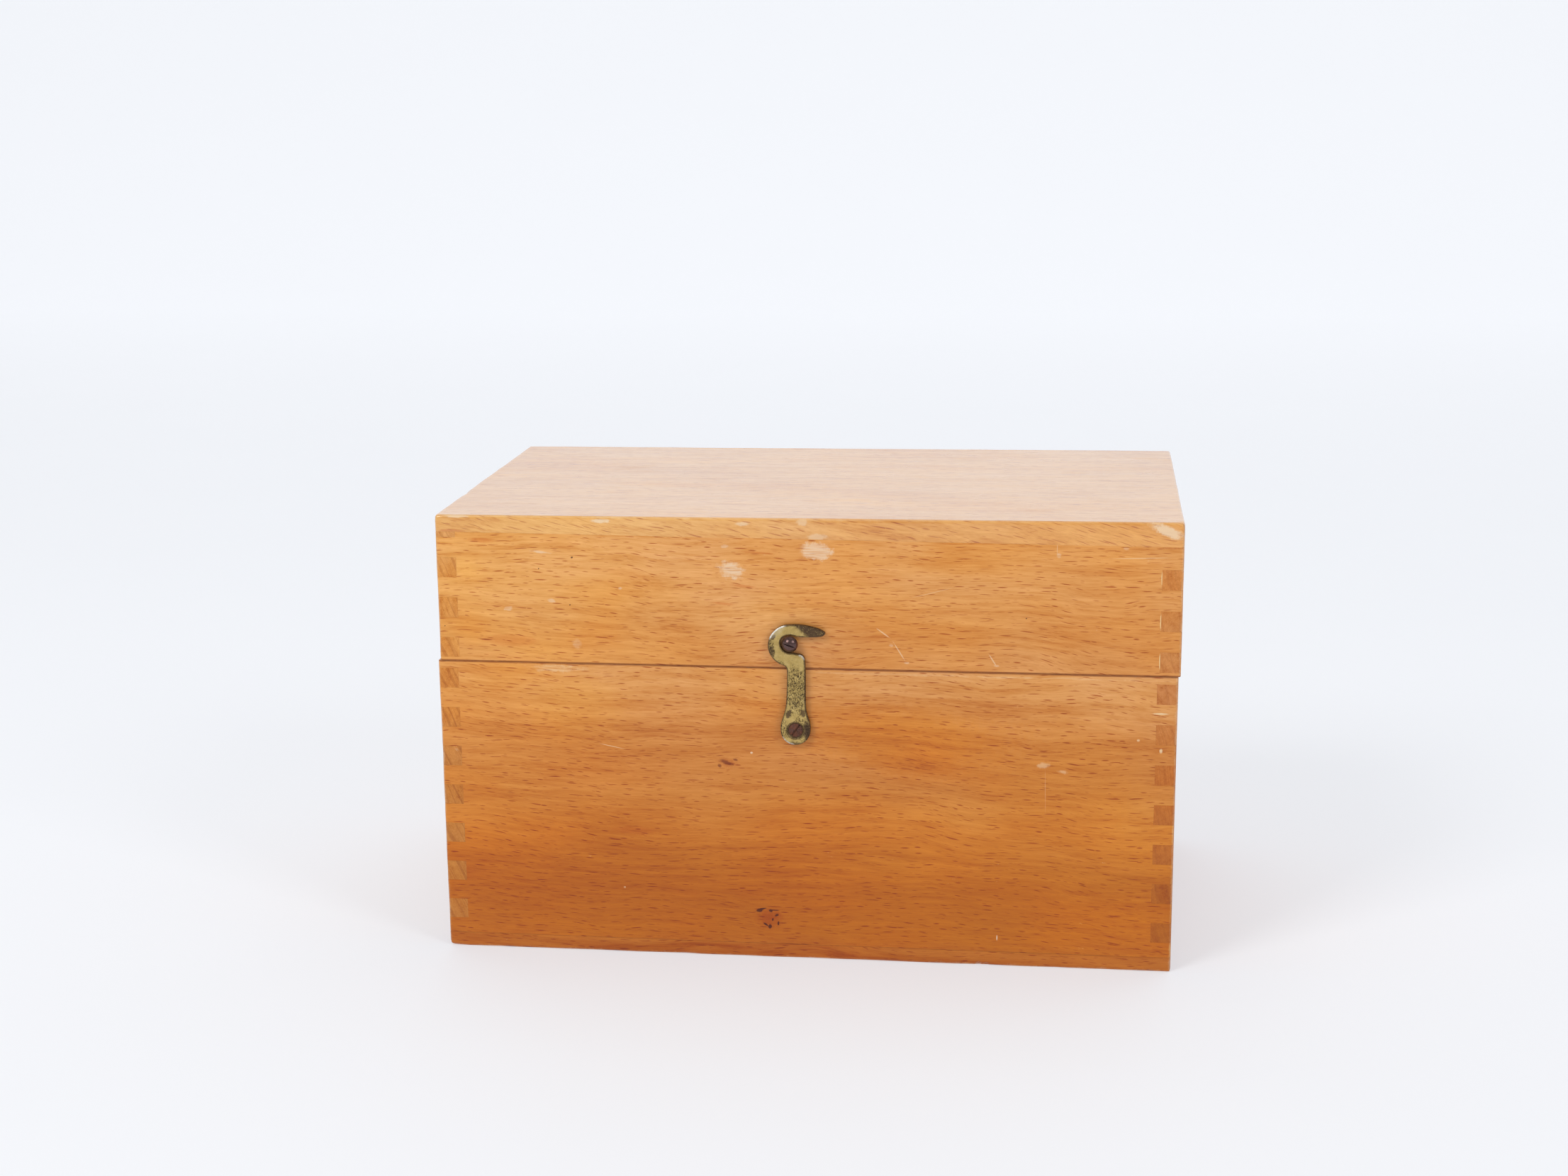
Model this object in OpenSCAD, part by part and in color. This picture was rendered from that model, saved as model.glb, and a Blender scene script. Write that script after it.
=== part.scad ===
// Finger-jointed wooden box for a set of game pieces, with a hinged lid.
// It is made as one closed carcass and then parted by a saw cut into a base and a lid.
// Two butt hinges sit on the back, and a flat hook swings over a round-head screw on the front.
// Millimetres. +X is right, +Y is towards the hinges, +Z is up.
// The origin is the centre of the underside of the base.

/* [Carcass] */
// Outside width of the box
box_w = 180; // [150:1:220]
// Outside depth of the box
box_d = 102; // [84:1:130]
// Thickness of the four wall boards
wall_t = 5; // [4.5:0.25:6.5]
// Height of the parting plane between base and lid
parting_z = 74.45; // [68:0.05:90]
// Thickness of the bottom panel, which is glued under the walls
bottom_t = 3.65; // [3:0.05:5]

/* [Lid] */
// Height of the lid's walls above the parting plane at the left end
lid_wall_left = 32.35; // [30:0.05:38]
// Height of the lid's walls above the parting plane at the right end
lid_wall_right = 31.35; // [30:0.05:38]
// Thickness of the top panel at the left end
top_t_left = 4.1; // [3.5:0.05:6.5]
// Thickness of the top panel at the right end
top_t_right = 5.9; // [3.5:0.05:6.5]
// Distance by which the lid sits to the right of the base
lid_shift = 0.5; // [0:0.1:1]

/* [Finger joints] */
// Height of one finger
finger_h = 5; // [4:0.25:6]
// Strip of front board left above the base's highest side finger
base_strip = 1.9; // [0.8:0.05:3]
// Strip of front board left below the lid's lowest side finger
lid_strip = 0.95; // [0.8:0.05:3]

/* [Worn edges] */
// Radius of the four upright corners
corner_r = 0.9; // [0.4:0.1:2]
// Radius of the bottom edges
bottom_r = 0.7; // [0.4:0.1:1.5]
// Radius of the bottom edge at the left end, which is worn most
bottom_left_r = 1.7; // [0.5:0.1:2.4]
// Radius of the edges of the lid's top
top_r = 0.7; // [0.4:0.1:1.5]

/* [Hinges] */
// Distance of each hinge's centre from the middle of the box
hinge_x = 55; // [35:1:60]
// Length of a hinge along its pin
hinge_len = 24; // [20:1:28]
// Height of one leaf
leaf_h = 10; // [9:0.5:14]
// Thickness of a leaf
leaf_t = 0.8; // [0.6:0.05:1]
// Radius of the rolled barrel
barrel_r = 1.6; // [1.5:0.05:2]
// Radius of the hinge pin
pin_r = 0.8; // [0.6:0.05:0.9]
// Gap between the barrel and the back of the box
barrel_gap = 0.3; // [0.3:0.05:0.6]
// Distance of a leaf's screws from the hinge's centre
leaf_screw_x = 7.5; // [6:0.25:8]

/* [Hook] */
// Sideways place of the hook's pivot
hook_x = -1.4; // [-10:0.1:10]
// Distance of the hook's pivot below the parting plane
hook_drop = 15.25; // [14.5:0.05:16]
// Thickness of the hook's plate
hook_t = 1.3; // [1.1:0.05:1.6]
// Gap between the hook and the front of the box
hook_gap = 0.15; // [0.1:0.05:0.3]
// Radius of the catch screw's round head
catch_head_r = 2; // [1.7:0.05:2.2]
// Height of the catch screw's round head
catch_head_h = 1.4; // [1.2:0.05:1.6]

/* [Hidden] */

$fn = 64;
front_y = -box_d/2;
back_y = box_d/2;
hw = box_w/2;
seam_l = parting_z + lid_wall_left;
seam_r = parting_z + lid_wall_right;
top_l = seam_l + top_t_left;
top_rr = seam_r + top_t_right;
top_slope = atan((top_rr - top_l)/box_w);
lid_l = lid_shift - hw;
lid_r = lid_shift + hw;

// hinge barrel: three knuckles, the outer two on the base leaf
axis_y = back_y + barrel_gap + barrel_r;
axis_z = parting_z;
knuckle_gap = 0.2;
knuckle_mid = hinge_len/3;
notch_clear = 0.4;
pin_run = 0.05;
leaf_screw_z = 6.3;
leaf_screw_r = 0.85;
leaf_screw_head_r = 1.55;
leaf_screw_len = 4.9;

// hook, in its own plane with the pivot at (0, 0) and up as +Y
hook_z = parting_z - hook_drop;
hook_back_y = front_y - hook_gap;
hook_front_y = hook_back_y - hook_t;
eye_r = 3.62;
eye_bore_r = 1.3;
eye_sink_r = 2.2;
catch_x = -1.2;
catch_up = 21.65;
catch_shank_r = 1.25;
pivot_run = 0.05;
pilot_run = 0.02;

// bands of height that belong to the side boards' fingers
function base_bands() = [for (k = [0:30])
    let(t = parting_z - base_strip - 2*finger_h*k, b = max(t - finger_h, bottom_t))
    if (t - bottom_t > 0.5) [b, t]];
function lid_bands() = [for (k = [0:30])
    let(b = parting_z + lid_strip + 2*finger_h*k)
    if (b < min(seam_l, seam_r) - 0.3) [b, b + finger_h]];

// cutter that rounds an edge along Z at (x, y); the material lies towards +sx, +sy
module edge_z(x, y, sx, sy, r, z0, len) {
    difference() {
        translate([min(x - sx, x + sx*r), min(y - sy, y + sy*r), z0]) cube([r + 1, r + 1, len]);
        translate([x + sx*r, y + sy*r, z0 - 1]) cylinder(r = r, h = len + 2);
    }
}
// the same along X at (y, z), centred on x = 0
module edge_x(y, z, sy, sz, r, len) {
    difference() {
        translate([-len/2, min(y - sy, y + sy*r), min(z - sz, z + sz*r)]) cube([len, r + 1, r + 1]);
        translate([-len/2 - 1, y + sy*r, z + sz*r]) rotate([0, 90, 0]) cylinder(r = r, h = len + 2);
    }
}
// the same along Y at (x, z), centred on y = 0
module edge_y(x, z, sx, sz, r, len) {
    difference() {
        translate([min(x - sx, x + sx*r), -len/2, min(z - sz, z + sz*r)]) cube([r + 1, len, r + 1]);
        translate([x + sx*r, len/2 + 1, z + sz*r]) rotate([90, 0, 0]) cylinder(r = r, h = len + 2);
    }
}

// rounds the four upright corners of a block centred on x = cx
module upright_cuts(cx) {
    for (sx = [-1, 1], sy = [-1, 1])
        edge_z(cx + sx*hw, sy*box_d/2, -sx, -sy, corner_r, -5, top_rr + 20);
}

// holes for screws driven into a board along Y; dir is +1 for a board at the front, -1 at the back
module pilot(x, z, r, depth, dir) {
    y0 = dir > 0 ? front_y : back_y;
    translate([x, y0 - dir*0.5, z]) rotate([-90*dir, 0, 0]) cylinder(r = r + pilot_run, h = depth + 0.5);
}

// ---- base ----

module long_board(y0, z0, z1, x0, x1, bands) {
    difference() {
        translate([x0, y0, z0]) cube([x1 - x0, wall_t, z1 - z0]);
        for (b = bands) {
            translate([x0 - 1, y0 - 1, b[0]]) cube([wall_t + 1, wall_t + 2, b[1] - b[0]]);
            translate([x1 - wall_t, y0 - 1, b[0]]) cube([wall_t + 1, wall_t + 2, b[1] - b[0]]);
        }
    }
}

module end_board(x0, z0, z1, bands) {
    translate([x0, front_y + wall_t, z0]) cube([wall_t, box_d - 2*wall_t, z1 - z0]);
    for (b = bands) translate([x0, front_y, b[0]]) cube([wall_t, box_d, b[1] - b[0]]);
}

module base_front_board() {
    color("#c98746") difference() {
        long_board(front_y, bottom_t, parting_z, -hw, hw, base_bands());
        upright_cuts(0);
        pilot(hook_x, hook_z, catch_shank_r, 4.3, 1);
    }
}

module base_back_board() {
    color("#c4803f") difference() {
        long_board(back_y - wall_t, bottom_t, parting_z, -hw, hw, base_bands());
        upright_cuts(0);
        for (s = [-1, 1], q = [-1, 1])
            pilot(s*hinge_x + q*leaf_screw_x, axis_z - leaf_screw_z, leaf_screw_r, leaf_screw_len - leaf_t, -1);
    }
}

module base_side_board(s) {
    color(s < 0 ? "#bf7a3c" : "#b87238") difference() {
        end_board(s < 0 ? -hw : hw - wall_t, bottom_t, parting_z, base_bands());
        upright_cuts(0);
    }
}

module base_bottom_panel() {
    color("#b5713a") difference() {
        translate([-hw, front_y, 0]) cube([box_w, box_d, bottom_t]);
        upright_cuts(0);
        edge_x(front_y, 0, 1, 1, bottom_r, box_w + 4);
        edge_x(back_y, 0, -1, 1, bottom_r, box_w + 4);
        edge_y(-hw, 0, 1, 1, bottom_left_r, box_d + 4);
        edge_y(hw, 0, -1, 1, bottom_r, box_d + 4);
    }
}

// ---- lid ----

// everything below the sloping seam between the lid's walls and its top panel
module under_seam() {
    translate([0, back_y + 5, 0]) rotate([90, 0, 0]) linear_extrude(height = box_d + 10)
        polygon([[lid_l - 2, parting_z - 1], [lid_r + 2, parting_z - 1], [lid_r + 2, seam_r + (seam_r - seam_l)*2/box_w],
                 [lid_l - 2, seam_l - (seam_r - seam_l)*2/box_w]]);
}

module lid_front_board() {
    color("#d0904e") difference() {
        intersection() {
            long_board(front_y, parting_z, max(seam_l, seam_r) + 1, lid_l, lid_r, lid_bands());
            under_seam();
        }
        upright_cuts(lid_shift);
        pilot(hook_x + catch_x, hook_z + catch_up, catch_shank_r, 4.2, 1);
    }
}

module lid_back_board() {
    color("#ca8847") difference() {
        intersection() {
            long_board(back_y - wall_t, parting_z, max(seam_l, seam_r) + 1, lid_l, lid_r, lid_bands());
            under_seam();
        }
        upright_cuts(lid_shift);
        for (s = [-1, 1], q = [-1, 1])
            pilot(s*hinge_x + q*leaf_screw_x, axis_z + leaf_screw_z, leaf_screw_r, leaf_screw_len - leaf_t, -1);
    }
}

module lid_side_board(s) {
    color(s < 0 ? "#c5813f" : "#be783b") difference() {
        intersection() {
            end_board(s < 0 ? lid_l : lid_r - wall_t, parting_z, max(seam_l, seam_r) + 1, lid_bands());
            under_seam();
        }
        upright_cuts(lid_shift);
    }
}

module lid_top_panel() {
    color("#d59a58") difference() {
        translate([0, back_y, 0]) rotate([90, 0, 0]) linear_extrude(height = box_d)
            polygon([[lid_l, seam_l], [lid_r, seam_r], [lid_r, top_rr], [lid_l, top_l]]);
        upright_cuts(lid_shift);
        translate([lid_shift, 0, (top_l + top_rr)/2]) rotate([0, -top_slope, 0]) {
            edge_x(front_y, 0, 1, -1, top_r, box_w + 8);
            edge_x(back_y, 0, -1, -1, top_r, box_w + 8);
        }
        edge_y(lid_l, top_l, 1, -1, top_r, box_d + 4);
        edge_y(lid_r, top_rr, -1, -1, top_r, box_d + 4);
    }
}

// ---- screws ----

// countersunk wood screw: head up at z = 0, shank down
module sunk_screw(head_r, shank_r, sink, len, slot_w, slot_d) {
    tip = 1.4;
    difference() {
        union() {
            translate([0, 0, -sink]) cylinder(r1 = shank_r, r2 = head_r, h = sink);
            translate([0, 0, -len + tip]) cylinder(r = shank_r, h = len - tip - sink);
            translate([0, 0, -len]) cylinder(r1 = 0.2, r2 = shank_r, h = tip);
        }
        translate([-head_r - 1, -slot_w/2, -slot_d]) cube([2*head_r + 2, slot_w, slot_d + 1]);
    }
}

// round-head wood screw: the head's underside is at z = 0, the shank goes down
module round_screw(head_r, head_h, shank_r, len, slot_w, slot_d) {
    ball = (head_r*head_r + head_h*head_h)/(2*head_h);
    tip = 1.4;
    difference() {
        union() {
            intersection() {
                translate([0, 0, head_h - ball]) sphere(r = ball);
                translate([-head_r - 1, -head_r - 1, 0]) cube([2*head_r + 2, 2*head_r + 2, head_h + 1]);
            }
            translate([0, 0, -len + tip]) cylinder(r = shank_r, h = len - tip + 0.2);
            translate([0, 0, -len]) cylinder(r1 = 0.2, r2 = shank_r, h = tip);
        }
        translate([-head_r - 1, -slot_w/2, head_h - slot_d]) cube([2*head_r + 2, slot_w, slot_d + 1]);
    }
}

// ---- hinges ----

// plate and knuckles of one leaf, around x = 0; up is +1 for the lid leaf and -1 for the base leaf
module leaf(up) {
    reach = 0.3;
    clear = barrel_r + notch_clear;
    mid = knuckle_mid/2;
    // stretches of the barrel that belong to this leaf
    spans = up > 0 ? [[-mid + knuckle_gap/2, mid - knuckle_gap/2]]
                   : [[-hinge_len/2, -mid - knuckle_gap/2], [mid + knuckle_gap/2, hinge_len/2]];
    bore = up > 0 ? pin_r + pin_run : pin_r + 0.01;
    difference() {
        union() {
            translate([-hinge_len/2, back_y, up > 0 ? axis_z + clear : axis_z - leaf_h])
                cube([hinge_len, leaf_t, leaf_h - clear]);
            for (s = spans) {
                translate([s[0], back_y, up > 0 ? axis_z + reach : axis_z - clear - 0.1])
                    cube([s[1] - s[0], leaf_t, clear + 0.1 - reach]);
                translate([s[0], axis_y, axis_z]) rotate([0, 90, 0]) cylinder(r = barrel_r, h = s[1] - s[0]);
            }
        }
        translate([-hinge_len/2 - 1, axis_y, axis_z]) rotate([0, 90, 0]) cylinder(r = bore, h = hinge_len + 2);
        for (q = [-1, 1]) translate([q*leaf_screw_x, back_y, axis_z + up*leaf_screw_z]) rotate([-90, 0, 0]) {
            translate([0, 0, -1]) cylinder(r = leaf_screw_r + 0.05, h = leaf_t + 2);
            translate([0, 0, leaf_t - 0.65]) cylinder(r1 = leaf_screw_r + 0.05, r2 = leaf_screw_head_r + 0.05, h = 0.65);
            translate([0, 0, leaf_t]) cylinder(r = leaf_screw_head_r + 0.05, h = 1);
        }
    }
}

module hinge_base_leaf(s) { color("#8f7d43") translate([s*hinge_x, 0, 0]) leaf(-1); }
module hinge_lid_leaf(s) { color("#9c8a4c") translate([s*hinge_x, 0, 0]) leaf(1); }

// pin with a peened head outside each end of the barrel
module hinge_pin(s) {
    head = 0.4;
    color("#7a6a3a") translate([s*hinge_x - hinge_len/2 - head, axis_y, axis_z]) rotate([0, 90, 0]) {
        cylinder(r = pin_r, h = hinge_len + 2*head);
        cylinder(r1 = pin_r, r2 = pin_r + 0.3, h = head);
        translate([0, 0, hinge_len + head]) cylinder(r1 = pin_r + 0.3, r2 = pin_r, h = head);
    }
}

module hinge_screws(s, up) {
    color("#6d5f38") for (q = [-1, 1])
        translate([s*hinge_x + q*leaf_screw_x, back_y + leaf_t - 0.03, axis_z + up*leaf_screw_z])
            rotate([-90, 0, 0]) rotate([0, 0, 37*q + 21*s + 60*up])
                sunk_screw(leaf_screw_head_r - 0.02, leaf_screw_r, 0.6, leaf_screw_len - 0.15, 0.4, 0.35);
}

// ---- hook ----

// the hook is an eye, a flared shank, a shoulder, a bowl around the catch screw and a tapering arm
module disc(x, y, r) { translate([x, y, 0]) cylinder(r = r, h = hook_t); }
module slab(points, z0, t) { translate([0, 0, z0]) linear_extrude(height = t) polygon(points); }

module hook_arm() {
    color("#a89a55") translate([hook_x, hook_back_y, hook_z]) rotate([90, 0, 0]) difference() {
        union() {
            disc(0, 0, eye_r);
            slab([[-3.42, 1.2], [-3.12, 2.9], [-2.72, 4.3], [-2.4, 5.8], [-2.2, 7.3], [-2.08, 9], [-1.98, 11.3], [-1.92, 13.6],
                  [-1.92, 15], [-2.12, 15.8], [-2.6, 16.3], [-3.4, 16.75], [-2.6, 18.5], [-0.6, 19.3],
                  [1.2, 19.03], [2.41, 17.8], [2.46, 16], [2.5, 13], [2.5, 9], [2.5, 6.6], [2.62, 5.2], [2.95, 3.6], [3.4, 1.2]], 0, hook_t);
            disc(1.18, 17.79, 1.24);
            intersection() {
                disc(-1.6, 21.38, 4.95);
                translate([-8, 14, -1]) cube([8.2, 14, hook_t + 2]);
            }
            slab([[-1.6, 26.2], [-0.7, 26.34], [0.67, 26.37], [2.04, 26.27], [3.41, 26.03], [4.79, 25.69], [6.16, 25.24], [7.06, 24.82],
                  [6.98, 23.77], [5.92, 23.5], [4.31, 23.41], [2.71, 23.37], [1.1, 23.39], [-1.6, 23.2]], 0, hook_t);
            disc(6.88, 24.3, 0.55);
        }
        translate([catch_x, 21.6, -1]) cylinder(r = 2.33, h = hook_t + 2);
        slab([[catch_x, 19.27], [0.6, 19.1], [1.18, 19.03], [9, 18.9], [9, 21.5], [5.5, 23.46], [4.31, 23.41], [2.71, 23.37], [1.1, 23.39],
              [0, 23.6], [catch_x, 23.93]], -1, hook_t + 2);
        translate([0, 0, -1]) cylinder(r = eye_bore_r, h = hook_t + 2);
        translate([0, 0, hook_t - 0.9]) cylinder(r1 = eye_bore_r, r2 = eye_sink_r, h = 0.9);
        translate([0, 0, hook_t]) cylinder(r = eye_sink_r, h = 1);
    }
}

module hook_pivot_screw() {
    sunk = 0.4;
    color("#5a3c2c") translate([hook_x, hook_front_y + sunk, hook_z]) rotate([90, 0, 0]) rotate([0, 0, 55])
        sunk_screw(eye_sink_r - sunk - 0.07, eye_bore_r - pivot_run, 0.48, hook_t + hook_gap - sunk + 4.25, 0.4, 0.28);
}

module hook_catch_screw() {
    color("#54404a") translate([hook_x + catch_x, hook_front_y - 0.15, hook_z + catch_up]) rotate([90, 0, 0]) rotate([0, 0, -13])
        round_screw(catch_head_r, catch_head_h, catch_shank_r, hook_t + hook_gap + 0.15 + 4.15, 0.5, 0.75);
}

base_front_board();
base_back_board();
base_side_board(-1);  // base_left_board
base_side_board(1);  // base_right_board
base_bottom_panel();
lid_front_board();
lid_back_board();
lid_side_board(-1);  // lid_left_board
lid_side_board(1);  // lid_right_board
lid_top_panel();
hinge_base_leaf(-1);  // left_hinge_base_leaf
hinge_base_leaf(1);  // right_hinge_base_leaf
hinge_lid_leaf(-1);  // left_hinge_lid_leaf
hinge_lid_leaf(1);  // right_hinge_lid_leaf
hinge_pin(-1);  // left_hinge_pin
hinge_pin(1);  // right_hinge_pin
hinge_screws(-1, -1);  // left_hinge_base_screws
hinge_screws(1, -1);  // right_hinge_base_screws
hinge_screws(-1, 1);  // left_hinge_lid_screws
hinge_screws(1, 1);  // right_hinge_lid_screws
hook_arm();
hook_pivot_screw();
hook_catch_screw();
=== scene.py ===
import math
import bmesh
import bpy
import numpy as np
from mathutils import Matrix, Vector, noise


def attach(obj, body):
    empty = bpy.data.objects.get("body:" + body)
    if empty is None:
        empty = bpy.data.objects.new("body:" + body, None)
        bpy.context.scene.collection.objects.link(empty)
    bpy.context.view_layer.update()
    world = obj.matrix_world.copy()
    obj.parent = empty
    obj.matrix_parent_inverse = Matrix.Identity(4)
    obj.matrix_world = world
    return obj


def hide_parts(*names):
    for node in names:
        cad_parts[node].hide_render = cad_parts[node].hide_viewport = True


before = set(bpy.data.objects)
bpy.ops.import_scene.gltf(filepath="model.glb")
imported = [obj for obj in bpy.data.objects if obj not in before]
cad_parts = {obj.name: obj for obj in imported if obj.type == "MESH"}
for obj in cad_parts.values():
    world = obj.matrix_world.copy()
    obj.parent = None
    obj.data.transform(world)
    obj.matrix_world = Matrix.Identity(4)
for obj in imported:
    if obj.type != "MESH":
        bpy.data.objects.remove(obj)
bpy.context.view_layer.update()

MM = 0.001
scene = bpy.context.scene

# ------------------------------------------------------------------ sizes, in millimetres, as in the CAD model
HW, HD, WALL = 90.0, 51.0, 5.0
BOTTOM, PART = 3.65, 74.45
SEAM_L, SEAM_R, TOP_L, TOP_R = 106.8, 105.8, 110.9, 111.7
SHIFT = 0.5
BASE_BANDS = [(67.55 - 10 * k, 72.55 - 10 * k) for k in range(7)]
LID_BANDS = [(75.4 + 10 * k, 80.4 + 10 * k) for k in range(4)]
HOOK_X, HOOK_Z, HOOK_BACK, HOOK_T = -1.4, 59.2, -51.15, 1.3
CATCH_X, CATCH_Z = -2.6, 80.85
AXIS_Y, AXIS_Z = 52.9, 74.45


# ------------------------------------------------------------------ camera, lights and the stage
def look(yaw, pitch, roll):
    """Camera turn: yaw about Z from +Y, pitch downwards, roll about the line of sight, in degrees."""
    y, p, r = (math.radians(v) for v in (yaw, pitch, roll))
    fwd = Vector((math.sin(y) * math.cos(p), math.cos(y) * math.cos(p), -math.sin(p)))
    right = Vector((math.cos(y), -math.sin(y), 0.0))
    down = fwd.cross(right)
    x = right * math.cos(r) + down * math.sin(r)
    d = -right * math.sin(r) + down * math.cos(r)
    return Matrix((x, -d, -fwd)).transposed().to_4x4()


cam = bpy.data.objects.new("camera", bpy.data.cameras.new("camera"))
scene.collection.objects.link(cam)
cam.data.lens, cam.data.sensor_width, cam.data.sensor_fit = 54.25, 36.0, "HORIZONTAL"
cam.data.clip_start, cam.data.clip_end = 0.01, 60.0
cam.matrix_world = Matrix.Translation((0.065155, -0.599061, 0.220406)) @ look(-7.196, 12.857, 0.523)
scene.camera = cam
scene.view_settings.view_transform = "Standard"


def area(name, place, aim, size, watts, colour=(1, 1, 1), glossy=True):
    light = bpy.data.lights.new(name, "AREA")
    light.shape = "RECTANGLE"
    light.size, light.size_y = size
    light.energy = watts
    light.color = colour
    o = bpy.data.objects.new(name, light)
    scene.collection.objects.link(o)
    o.location = place
    o.rotation_mode = "QUATERNION"
    o.rotation_quaternion = (Vector(aim) - Vector(place)).to_track_quat("-Z", "Y")
    o.visible_camera = False
    o.visible_glossy = glossy
    return o


area("softbox_left", (-0.95, -1.15, 1.25), (0, 0, 0.06), (0.55, 0.75), 11.0, (1.0, 0.99, 0.98))
area("softbox_right", (1.25, -1.0, 1.05), (0, 0, 0.06), (0.45, 0.65), 6.0, (0.98, 0.99, 1.0))
area("softbox_above", (0.1, 0.35, 1.7), (0, 0, 0.05), (1.2, 0.9), 3.0)

world = bpy.data.worlds.new("studio")
scene.world = world
world.use_nodes = True
wt = world.node_tree
wt.nodes.clear()
w_out = wt.nodes.new("ShaderNodeOutputWorld")
w_bg = wt.nodes.new("ShaderNodeBackground")
w_see = wt.nodes.new("ShaderNodeBackground")
w_mix = wt.nodes.new("ShaderNodeMixShader")
w_path = wt.nodes.new("ShaderNodeLightPath")
w_bg.inputs["Color"].default_value = (0.96, 0.98, 1.0, 1)
w_bg.inputs["Strength"].default_value = 0.5
w_see.inputs["Color"].default_value = (0.90, 0.91, 0.94, 1)
w_see.inputs["Strength"].default_value = 1.0
wt.links.new(w_path.outputs["Is Camera Ray"], w_mix.inputs[0])
wt.links.new(w_bg.outputs[0], w_mix.inputs[1])
wt.links.new(w_see.outputs[0], w_mix.inputs[2])
wt.links.new(w_mix.outputs[0], w_out.inputs["Surface"])


# ------------------------------------------------------------------ a small helper for node graphs
class Graph:
    def __init__(self, name):
        self.mat = bpy.data.materials.new(name)
        self.mat.use_nodes = True
        self.nt = self.mat.node_tree
        self.nt.nodes.clear()
        self.out = self.nt.nodes.new("ShaderNodeOutputMaterial")
        self.bsdf = self.nt.nodes.new("ShaderNodeBsdfPrincipled")
        self.nt.links.new(self.bsdf.outputs[0], self.out.inputs["Surface"])

    def put(self, socket, value):
        if isinstance(value, bpy.types.NodeSocket):
            self.nt.links.new(value, socket)
        elif value is not None:
            if socket.type == "RGBA" and len(value) == 3:
                value = (*value, 1.0)
            socket.default_value = value

    def math(self, op, a, b=None, c=None, clamp=False):
        n = self.nt.nodes.new("ShaderNodeMath")
        n.operation = op
        n.use_clamp = clamp
        for s, v in zip(n.inputs, (a, b, c)):
            self.put(s, v)
        return n.outputs[0]

    def add(self, a, b): return self.math("ADD", a, b)
    def sub(self, a, b): return self.math("SUBTRACT", a, b)
    def mul(self, a, b): return self.math("MULTIPLY", a, b)
    def mad(self, a, b, c): return self.math("MULTIPLY_ADD", a, b, c)
    def top(self, a, b): return self.math("MAXIMUM", a, b)
    def low(self, a, b): return self.math("MINIMUM", a, b)

    def vec(self, op, a, b=None, scale=None):
        n = self.nt.nodes.new("ShaderNodeVectorMath")
        n.operation = op
        self.put(n.inputs[0], a)
        if b is not None:
            self.put(n.inputs[1], b)
        if scale is not None:
            self.put(n.inputs["Scale"], scale)
        return n.outputs["Value"] if op in ("DOT_PRODUCT", "LENGTH", "DISTANCE") else n.outputs["Vector"]

    def xyz(self, x, y, z):
        n = self.nt.nodes.new("ShaderNodeCombineXYZ")
        for s, v in zip(n.inputs, (x, y, z)):
            self.put(s, v)
        return n.outputs[0]

    def split(self, v):
        n = self.nt.nodes.new("ShaderNodeSeparateXYZ")
        self.put(n.inputs[0], v)
        return n.outputs[0], n.outputs[1], n.outputs[2]

    def place(self):
        """Object coordinates in millimetres, the same frame as the CAD."""
        n = self.nt.nodes.new("ShaderNodeTexCoord")
        return self.vec("SCALE", n.outputs["Object"], scale=1000.0)

    def attr(self, name):
        n = self.nt.nodes.new("ShaderNodeAttribute")
        n.attribute_type = "GEOMETRY"
        n.attribute_name = name
        return n.outputs["Fac"]

    def noise(self, v, scale=1.0, detail=2.0, rough=0.5, lac=2.0, dist=0.0, seed=None, colour=False):
        n = self.nt.nodes.new("ShaderNodeTexNoise")
        n.noise_dimensions = "3D" if seed is None else "4D"
        self.put(n.inputs["Vector"], v)
        if seed is not None:
            n.inputs["W"].default_value = seed
        n.inputs["Scale"].default_value = scale
        n.inputs["Detail"].default_value = detail
        n.inputs["Roughness"].default_value = rough
        n.inputs["Lacunarity"].default_value = lac
        n.inputs["Distortion"].default_value = dist
        return n.outputs["Color"] if colour else n.outputs["Fac"]

    def noise1(self, w, scale=1.0, detail=2.0, rough=0.5):
        n = self.nt.nodes.new("ShaderNodeTexNoise")
        n.noise_dimensions = "1D"
        self.put(n.inputs["W"], w)
        n.inputs["Scale"].default_value = scale
        n.inputs["Detail"].default_value = detail
        n.inputs["Roughness"].default_value = rough
        return n.outputs["Fac"]

    def cells(self, v, feature="F1", scale=1.0, random=1.0, flat=False):
        n = self.nt.nodes.new("ShaderNodeTexVoronoi")
        n.voronoi_dimensions = "2D" if flat else "3D"
        n.feature = feature
        self.put(n.inputs["Vector"], v)
        n.inputs["Scale"].default_value = scale
        n.inputs["Randomness"].default_value = random
        return n.outputs

    def step(self, v, lo, hi, to0=0.0, to1=1.0, smooth=True):
        """v mapped from lo..hi to to0..to1, held at both ends. lo may be above hi."""
        n = self.nt.nodes.new("ShaderNodeMapRange")
        n.interpolation_type = "SMOOTHSTEP" if smooth else "LINEAR"
        n.clamp = True
        if lo > hi:
            lo, hi, to0, to1 = hi, lo, to1, to0
        self.put(n.inputs[0], v)
        for i, k in enumerate((lo, hi, to0, to1)):
            n.inputs[1 + i].default_value = k
        return n.outputs[0]

    def mix(self, fac, a, b, how="MIX"):
        n = self.nt.nodes.new("ShaderNodeMix")
        n.data_type = "RGBA"
        n.blend_type = how
        n.clamp_factor = True
        self.put(n.inputs[0], fac)
        self.put(n.inputs[6], a)
        self.put(n.inputs[7], b)
        return n.outputs[2]

    def lerp(self, fac, a, b):
        n = self.nt.nodes.new("ShaderNodeMix")
        n.data_type = "FLOAT"
        self.put(n.inputs[0], fac)
        self.put(n.inputs[2], a)
        self.put(n.inputs[3], b)
        return n.outputs[0]

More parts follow.
